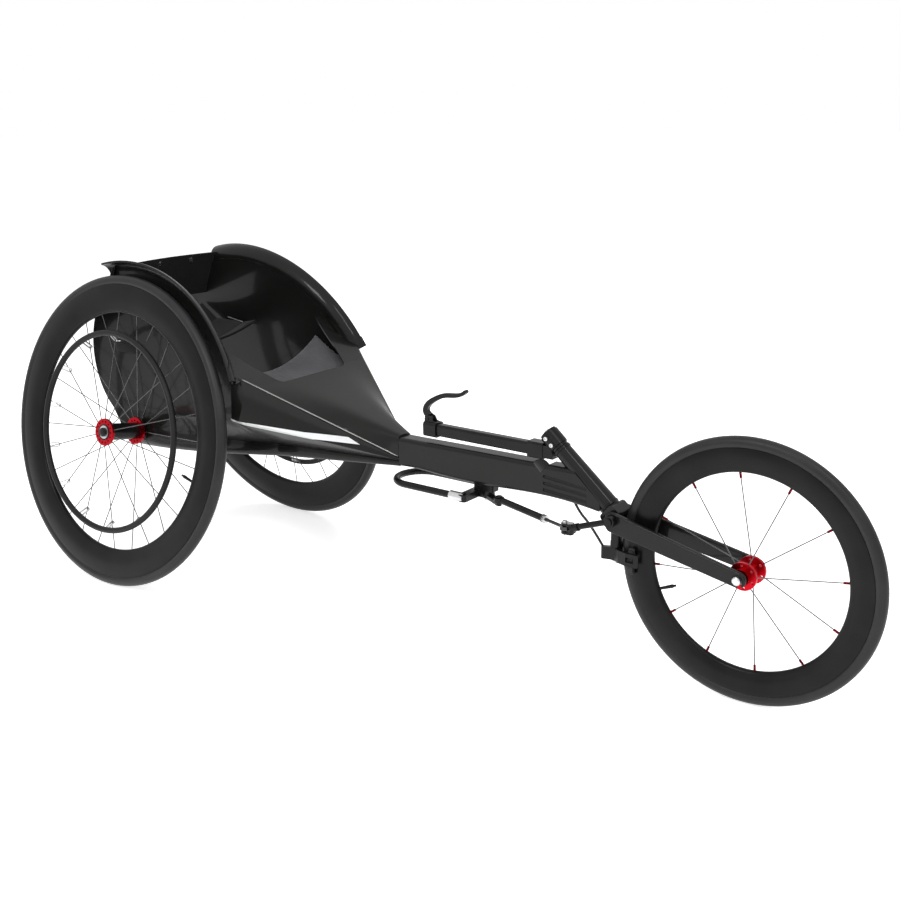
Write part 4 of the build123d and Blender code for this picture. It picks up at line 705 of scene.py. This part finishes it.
@dataclass
class Upholstery:
    """Knee pad, sling seat, back sling and seat strap, from the frame's soft solids."""

    knee: Cushion = Cushion("knee_pad_neoprene", "knee_pad", 0.0022, 0.0006, 0.0015, Slot.GREY_CLOTH)
    seat: Cushion = Cushion("seat_sling_padded", "seat_sling", 0.0020, 0.0004, 0.0015, Slot.BLACK_CLOTH)
    back: Cushion = Cushion("back_sling_padded", "back_upholstery", 0.0013, 0.0, 0.0010, Slot.BLACK_CLOTH)
    pressure: float = 4.0
    frames: int = 12
    stud_places: tuple[float, ...] = (-0.085, 0.0, 0.085)
    stud_radius: float = 0.0058
    stud_height: float = 0.0016
    stud_drop: float = 0.012

    def inflate(self, piece: bpy.types.Object, cap: float) -> None:
        """Run cloth under pressure on a piece and apply it, with each point's move capped."""
        start = [vertex.co.copy() for vertex in piece.data.vertices]
        cloth = piece.modifiers.new("blown_cloth", "CLOTH")
        cloth.settings.use_pressure = True
        cloth.settings.uniform_pressure_force = self.pressure
        cloth.settings.effector_weights.gravity = 0.0
        cloth.settings.quality = 3
        cloth.collision_settings.use_self_collision = False
        scene = bpy.context.scene
        scene.frame_start, scene.frame_end = 1, self.frames
        for number in range(1, self.frames + 1):
            scene.frame_set(number)
        activate(piece)
        bpy.ops.object.modifier_apply(modifier=cloth.name)
        for vertex, origin in zip(piece.data.vertices, start):
            move = vertex.co - origin
            if move.length > cap:
                vertex.co = origin + move.normalized() * cap
        scene.frame_set(1)

    def swell(self, cushion: Cushion, book: "FinishBook") -> bpy.types.Object:
        """Blow one cushion up from the frame's solid, in cloth under pressure.

        Args:
            cushion: What to make.
            book: The finishes.

        Returns:
            The blown-up piece.
        """
        piece = merged_copy(cushion.name, cushion.node)
        bpy.ops.object.mode_set(mode="EDIT")
        bpy.ops.mesh.select_all(action="SELECT")
        bpy.ops.transform.shrink_fatten(value=-cushion.inset)
        bpy.ops.object.mode_set(mode="OBJECT")
        remesh = piece.modifiers.new("even_mesh", "REMESH")
        remesh.mode = "VOXEL"
        remesh.voxel_size = cushion.voxel
        bpy.ops.object.modifier_apply(modifier=remesh.name)
        self.inflate(piece, cushion.cap)
        relax = piece.modifiers.new("relax", "SMOOTH")
        relax.iterations = 4
        relax.factor = 0.5
        bpy.ops.object.modifier_apply(modifier=relax.name)
        bpy.ops.object.shade_smooth()
        book.finish_piece(piece, cushion.slot, "frame")
        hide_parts(cushion.node)
        return piece

    def strap(self, book: "FinishBook") -> None:
        """Seat strap as webbing, with softened edges."""
        piece = merged_copy("seat_strap_webbing", "seat_straps")
        bevel = piece.modifiers.new("soft_edges", "BEVEL")
        bevel.width = 0.0005
        bevel.segments = 2
        bevel.limit_method = "ANGLE"
        bevel.angle_limit = math.radians(50)
        bpy.ops.object.modifier_apply(modifier=bevel.name)
        smooth(piece)
        book.finish_piece(piece, Slot.BLACK_CLOTH, "frame")
        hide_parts("seat_straps")

    def snaps(self, back: bpy.types.Object, book: "FinishBook") -> None:
        """Press studs that close the back sling, in a row under its top edge."""
        _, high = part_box("back_upholstery")
        for number, across in enumerate(self.stud_places, start=1):
            deselect()
            bpy.ops.mesh.primitive_cylinder_add(
                vertices=20, radius=self.stud_radius, depth=self.stud_height)
            piece = bpy.context.object
            piece.name = f"back_stud_{number}"
            bpy.ops.object.mode_set(mode="EDIT")
            pick_faces(piece, lambda centre, normal: normal.z > 0.9)
            bpy.ops.mesh.inset(thickness=0.0018, depth=-0.0004)
            bpy.ops.mesh.inset(thickness=0.0012, depth=0.0006)
            bpy.ops.object.mode_set(mode="OBJECT")
            start = Vector((high[0] + 0.1, across, high[2] - self.stud_drop))
            face = surface_point(back, start, Vector((-1, 0, 0)))
            if face is None:
                bpy.data.objects.remove(piece)
                continue
            spot, normal = face
            settle(piece, Matrix.Translation(spot + normal * 0.0009) @ point_z(normal))
            smooth(piece, 30)
            book.finish_piece(piece, Slot.SILVER, "frame")

    def build(self, book: "FinishBook") -> None:
        """Make every soft piece."""
        self.swell(self.knee, book)
        self.swell(self.seat, book)
        back = self.swell(self.back, book)
        self.strap(book)
        self.snaps(back, book)


# Brake cable and pinstripe


@dataclass
class BrakeCable:
    """Brake cable, out of the beam's gusset and down to the caliper's right arm.

    Attributes:
        route: Points of its line, measured from the front hub's centre.
        length: Its real length, in metres; not used.
        radius: Its real radius, in metres.
    """

    route: tuple[Point, ...] = (
        (-0.344, -0.005, 0.068),
        (-0.331, -0.006, 0.046),
        (-0.304, -0.009, 0.027),
        (-0.2745, -0.0145, -0.0055),
    )
    length: float = 0.101
    radius: float = 0.0025

    def build(self, book: "FinishBook") -> None:
        """Draw the cable as one smooth line between beam and fork."""
        hub = Vector(JOINTS["front_wheel_spin"]["pos_m"])
        deselect()
        curve = bpy.data.curves.new("brake_cable_line", "CURVE")
        curve.dimensions = "3D"
        spline = curve.splines.new("NURBS")
        spline.points.add(len(self.route) - 1)
        for point, place in zip(spline.points, self.route):
            point.co = (*(hub + Vector(place)), 1.0)
        spline.order_u = 3
        spline.use_endpoint_u = True
        spline.resolution_u = 24
        piece = bpy.data.objects.new("brake_cable_line", curve)
        bpy.context.scene.collection.objects.link(piece)
        bpy.context.view_layer.update()
        path = [tuple(vertex.co) for vertex in bpy.data.meshes.new_from_object(piece).vertices]
        curve.bevel_depth = self.radius
        curve.bevel_resolution = 4
        curve.use_fill_caps = True
        activate(piece)
        bpy.ops.object.convert(target="MESH")
        smooth(piece)
        book.name_slot(piece, Slot.CABLE)
        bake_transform(piece)
        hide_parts("brake_cable")


@dataclass
class Pinstripe:
    """White tapered stripe along the wing of the nose, laid on the shell."""

    back: tuple[float, float] = (-0.3233, 0.3925)
    top: tuple[tuple[float, float], ...] = ((-0.2883, 0.3897), (-0.1857, 0.3695), (-0.1098, 0.3603))
    low: tuple[tuple[float, float], ...] = ((-0.3050, 0.3815), (-0.1892, 0.3593), (-0.1091, 0.3478))
    tip: tuple[float, float] = (-0.0892, 0.3451)
    columns: int = 120
    rows: int = 10
    outside: float = 0.35
    lift: float = 0.0007
    film: float = 0.0002

    def edge(self, x: float, middle: tuple[tuple[float, float], ...]) -> float:
        """Height of one edge of the stripe at a station."""
        line = (self.back, *middle, self.tip)
        for (x0, z0), (x1, z1) in zip(line, line[1:]):
            if x <= x1:
                return z0 + (z1 - z0) * (x - x0) / (x1 - x0)
        return self.tip[1]

    def lay(self, side: Side, book: "FinishBook") -> None:
        """Lay the stripe on one side."""
        deselect()
        bpy.ops.mesh.primitive_grid_add(x_subdivisions=self.columns, y_subdivisions=self.rows, size=2.0)
        piece = bpy.context.object
        piece.name = f"pinstripe_{side.value}"
        for vertex in piece.data.vertices:
            share, across = (vertex.co.x + 1) / 2, (vertex.co.y + 1) / 2
            x = self.back[0] + (self.tip[0] - self.back[0]) * share
            low, top = self.edge(x, self.low), self.edge(x, self.top)
            vertex.co = (x, side.sign * self.outside, low + (top - low) * across)
        wrap = piece.modifiers.new("laid_on_shell", "SHRINKWRAP")
        wrap.target = frame["nodes"]["tub_shell"]
        wrap.wrap_method = "PROJECT"
        wrap.use_project_y = True
        wrap.use_negative_direction = side is Side.LEFT
        wrap.use_positive_direction = side is Side.RIGHT
        wrap.wrap_mode = "ABOVE_SURFACE"
        wrap.offset = self.lift
        activate(piece)
        bpy.ops.object.modifier_apply(modifier=wrap.name)
        bpy.ops.object.mode_set(mode="EDIT")
        bpy.ops.mesh.select_all(action="SELECT")
        bpy.ops.mesh.remove_doubles(threshold=MERGE_M)
        bpy.ops.object.mode_set(mode="OBJECT")
        face_out(piece, side)
        film = piece.modifiers.new("film", "SOLIDIFY")
        film.thickness = self.film
        film.offset = -1.0
        bpy.ops.object.modifier_apply(modifier=film.name)
        smooth(piece, 30)
        book.finish_piece(piece, Slot.SILVER, "frame", book.stripe)

    def build(self, book: "FinishBook") -> None:
        """Lay both stripes."""
        for side in Side:
            self.lay(side, book)


@dataclass
class SlimRod:
    """Straight slim bar with tapered ends, one a side: a light grey bead that paints the ridge's highlight, or a
    wire rod.
    """

    name: str
    back: Point
    front: Point
    slot: Slot
    radius: float = 0.0013
    taper: float = 0.02

    def build(self, book: FinishBook, material: bpy.types.Material | None = None) -> None:
        """Draw out one bar a side, between two points given for the left.

        Args:
            book: The finishes.
            material: Its material, where that isn't its slot's own.
        """
        for side in Side:
            start, end = (Vector((x, y * side.sign, z)) for x, y, z in (self.back, self.front))
            run = end - start
            deselect()
            bpy.ops.mesh.primitive_cylinder_add(
                vertices=14, radius=self.radius, depth=run.length * (1 - 2 * self.taper))
            piece = bpy.context.object
            piece.name = f"{self.name}_{side.value}"
            bpy.ops.object.mode_set(mode="EDIT")
            for hand in (1, -1):
                pick_faces(piece, lambda centre, normal: normal.z * hand > 0.9)
                bpy.ops.mesh.extrude_region_move(
                    TRANSFORM_OT_translate={"value": (0, 0, hand * run.length * self.taper)})
                bpy.ops.transform.resize(value=(0.25, 0.25, 1.0))
            bpy.ops.object.mode_set(mode="OBJECT")
            settle(piece, Matrix.Translation((start + end) / 2) @ point_z(run))
            smooth(piece)
            book.finish_piece(piece, self.slot, "frame", material)


# Studio


@dataclass(frozen=True)
class SoftBox:
    """One rectangular lamp.

    Attributes:
        name: Lamp name.
        place: Where it hangs.
        aim: The point it faces.
        size: Width and height of its window.
        power: Watts.
        mirrored: Whether glossy surfaces show it.
    """

    name: str
    place: Point
    aim: Point
    size: tuple[float, float]
    power: float
    mirrored: bool

    def hang(self) -> None:
        """Add the lamp to the scene."""
        deselect()
        bpy.ops.object.light_add(type="AREA", location=self.place)
        lamp = bpy.context.object
        lamp.name = self.name
        lamp.data.shape = "RECTANGLE"
        lamp.data.size, lamp.data.size_y = self.size
        lamp.data.energy = self.power
        direction = Vector(self.aim) - Vector(self.place)
        lamp.rotation_euler = direction.to_track_quat("-Z", "Y").to_euler()
        lamp.visible_glossy = self.mirrored


@dataclass(frozen=True)
class Studio:
    """Camera, lamps, floor and backdrop. Angles in degrees, lens and sensor in millimetres."""

    eye: Point = (1.5292, -1.8838, 1.0567)
    yaw: float = 37.327
    pitch: float = 16.61
    roll: float = -0.829
    lens: float = 50.51
    sensor: float = 36.0
    far_clip: float = 60.0
    fill: float = 0.45
    floor_glow: float = 0.62
    lamps: tuple[SoftBox, ...] = (
        SoftBox("overhead_softbox", (0.2, -0.6, 3.0), (0, 0, 0.3), (3.2, 2.0), 55, mirrored=False),
        SoftBox("front_softbox", (2.4, -2.6, 1.8), (0, 0, 0.35), (1.6, 1.6), 30, mirrored=False),
        SoftBox("back_softbox", (-1.8, 2.4, 2.0), (0, 0, 0.4), (2.0, 1.2), 35, mirrored=False),
        SoftBox("strip_light", (1.6, -0.9, 2.2), (-0.35, 0.0, 0.5), (0.25, 1.2), 9, mirrored=True),
        SoftBox("side_strip", (-0.1, -2.1, 2.0), (-0.4, 0.16, 0.55), (0.7, 0.7), 17, mirrored=True),
    )

    def camera(self) -> None:
        """Place the camera at the photograph's viewpoint."""
        deselect()
        bpy.ops.object.camera_add()
        camera = bpy.context.object
        camera.name = "viewpoint"
        camera.data.sensor_width = self.sensor
        camera.data.lens = self.lens
        camera.data.clip_end = self.far_clip
        yaw, pitch, roll = (math.radians(value) for value in (self.yaw, self.pitch, self.roll))
        look = Vector((-math.sin(yaw) * math.cos(pitch), math.cos(yaw) * math.cos(pitch), -math.sin(pitch)))
        right = Vector((math.cos(yaw), math.sin(yaw), 0.0))
        up = right.cross(look)
        tilted = right * math.cos(roll) + up * math.sin(roll)
        upright = up * math.cos(roll) - right * math.sin(roll)
        camera.matrix_world = place_by(Vector(self.eye), (tilted, upright, -look))
        bpy.context.scene.camera = camera

    def floor(self) -> None:
        """Lay a pale floor that shows white to the camera and keeps the shadow."""
        deselect()
        bpy.ops.mesh.primitive_plane_add(size=40.0, location=(0, 0, -0.0005))
        floor = bpy.context.object
        floor.name = "studio_floor"
        graph = Paint("studio_floor_paint")
        graph.set(Base_Color=(0.9, 0.9, 0.9, 1), Roughness=0.8, Specular_IOR_Level=0.1,
                  Emission_Color=(1, 1, 1, 1))
        glow = graph.maths("MULTIPLY", graph.backdrop_rays(), self.floor_glow)
        graph.link(glow, graph.shader.inputs["Emission Strength"])
        floor.data.materials.append(graph.material)

    def sky(self) -> None:
        """White surround with a plain fill light."""
        world = bpy.data.worlds.new("studio_world")
        bpy.context.scene.world = world
        world.use_nodes = True
        graph = Graph(world.node_tree)
        background = graph.tree.nodes["Background"]
        graph.link(graph.remap(graph.backdrop_rays(), self.fill, 1.0), background.inputs["Strength"])
        background.inputs["Color"].default_value = (1, 1, 1, 1)

    def build(self) -> None:
        """Set up the whole studio."""
        self.camera()
        self.floor()
        self.sky()
        for lamp in self.lamps:
            lamp.hang()
        bpy.context.scene.view_settings.view_transform = "Standard"


def two_tone(node: bpy.types.Object, book: FinishBook, silver: Callable[[Vector], bool]) -> None:
    """Finish a node in black, with silver screws and ends where its facets pass a test."""
    node.data.materials.clear()
    for slot in (Slot.BLACK_METAL, Slot.SILVER):
        node.data.materials.append(book.materials[slot])
    for face in node.data.polygons:
        face.material_index = int(silver(face.center))


def dress_frame(book: FinishBook) -> None:
    """Give every node of the frame its slot's finish and smooth shading."""
    slots = {part["node"]: Slot(part["material_slot"]) for part in frame["record"]["subparts"]}
    for name, node in frame["nodes"].items():
        book.dress(node, slots[name])
        polish(node, CREASE_DEGREES.get(name, PLAIN_CREASE_DEGREES))
        if name == "front_nipples":
            node.data.materials[0] = book.nipple
        if name in SILVER_SPOTS:
            two_tone(node, book, SILVER_SPOTS[name])
        log.info("dressed %s", name)


def main() -> None:
    """Build the scene in order."""
    logging.basicConfig(level=logging.INFO, format="%(name)s: %(message)s")
    book = FinishBook()
    Studio().build()
    BrakeCable().build(book)
    dress_frame(book)
    for side in Side:
        Wheel(f"rear_{side.value}", f"rear_wheel_{side.value}_spin", radius=0.334, rim_inner=0.2545,
              valve_degrees=-15.1, ring_radius=0.211).build(book)
    Wheel("front", "front_wheel_spin", radius=0.239, rim_inner=0.1765, valve_degrees=202.5).build(book)
    Upholstery().build(book)
    Pinstripe().build(book)
    # Painted highlight: a light grey bead laid along each nose ridge, where the light catches it.
    ridge = SlimRod("ridge_painted_highlight", (-0.2935, 0.1772, 0.4758), (-0.0225, 0.0212, 0.3228), Slot.CARBON)
    ridge.build(book, book.edge)
    SlimRod("sling_rod", (-0.6755, 0.1485, 0.5128), (-0.6140, 0.1375, 0.5085), Slot.SILVER).build(book)


if __name__ == "__main__":
    main()
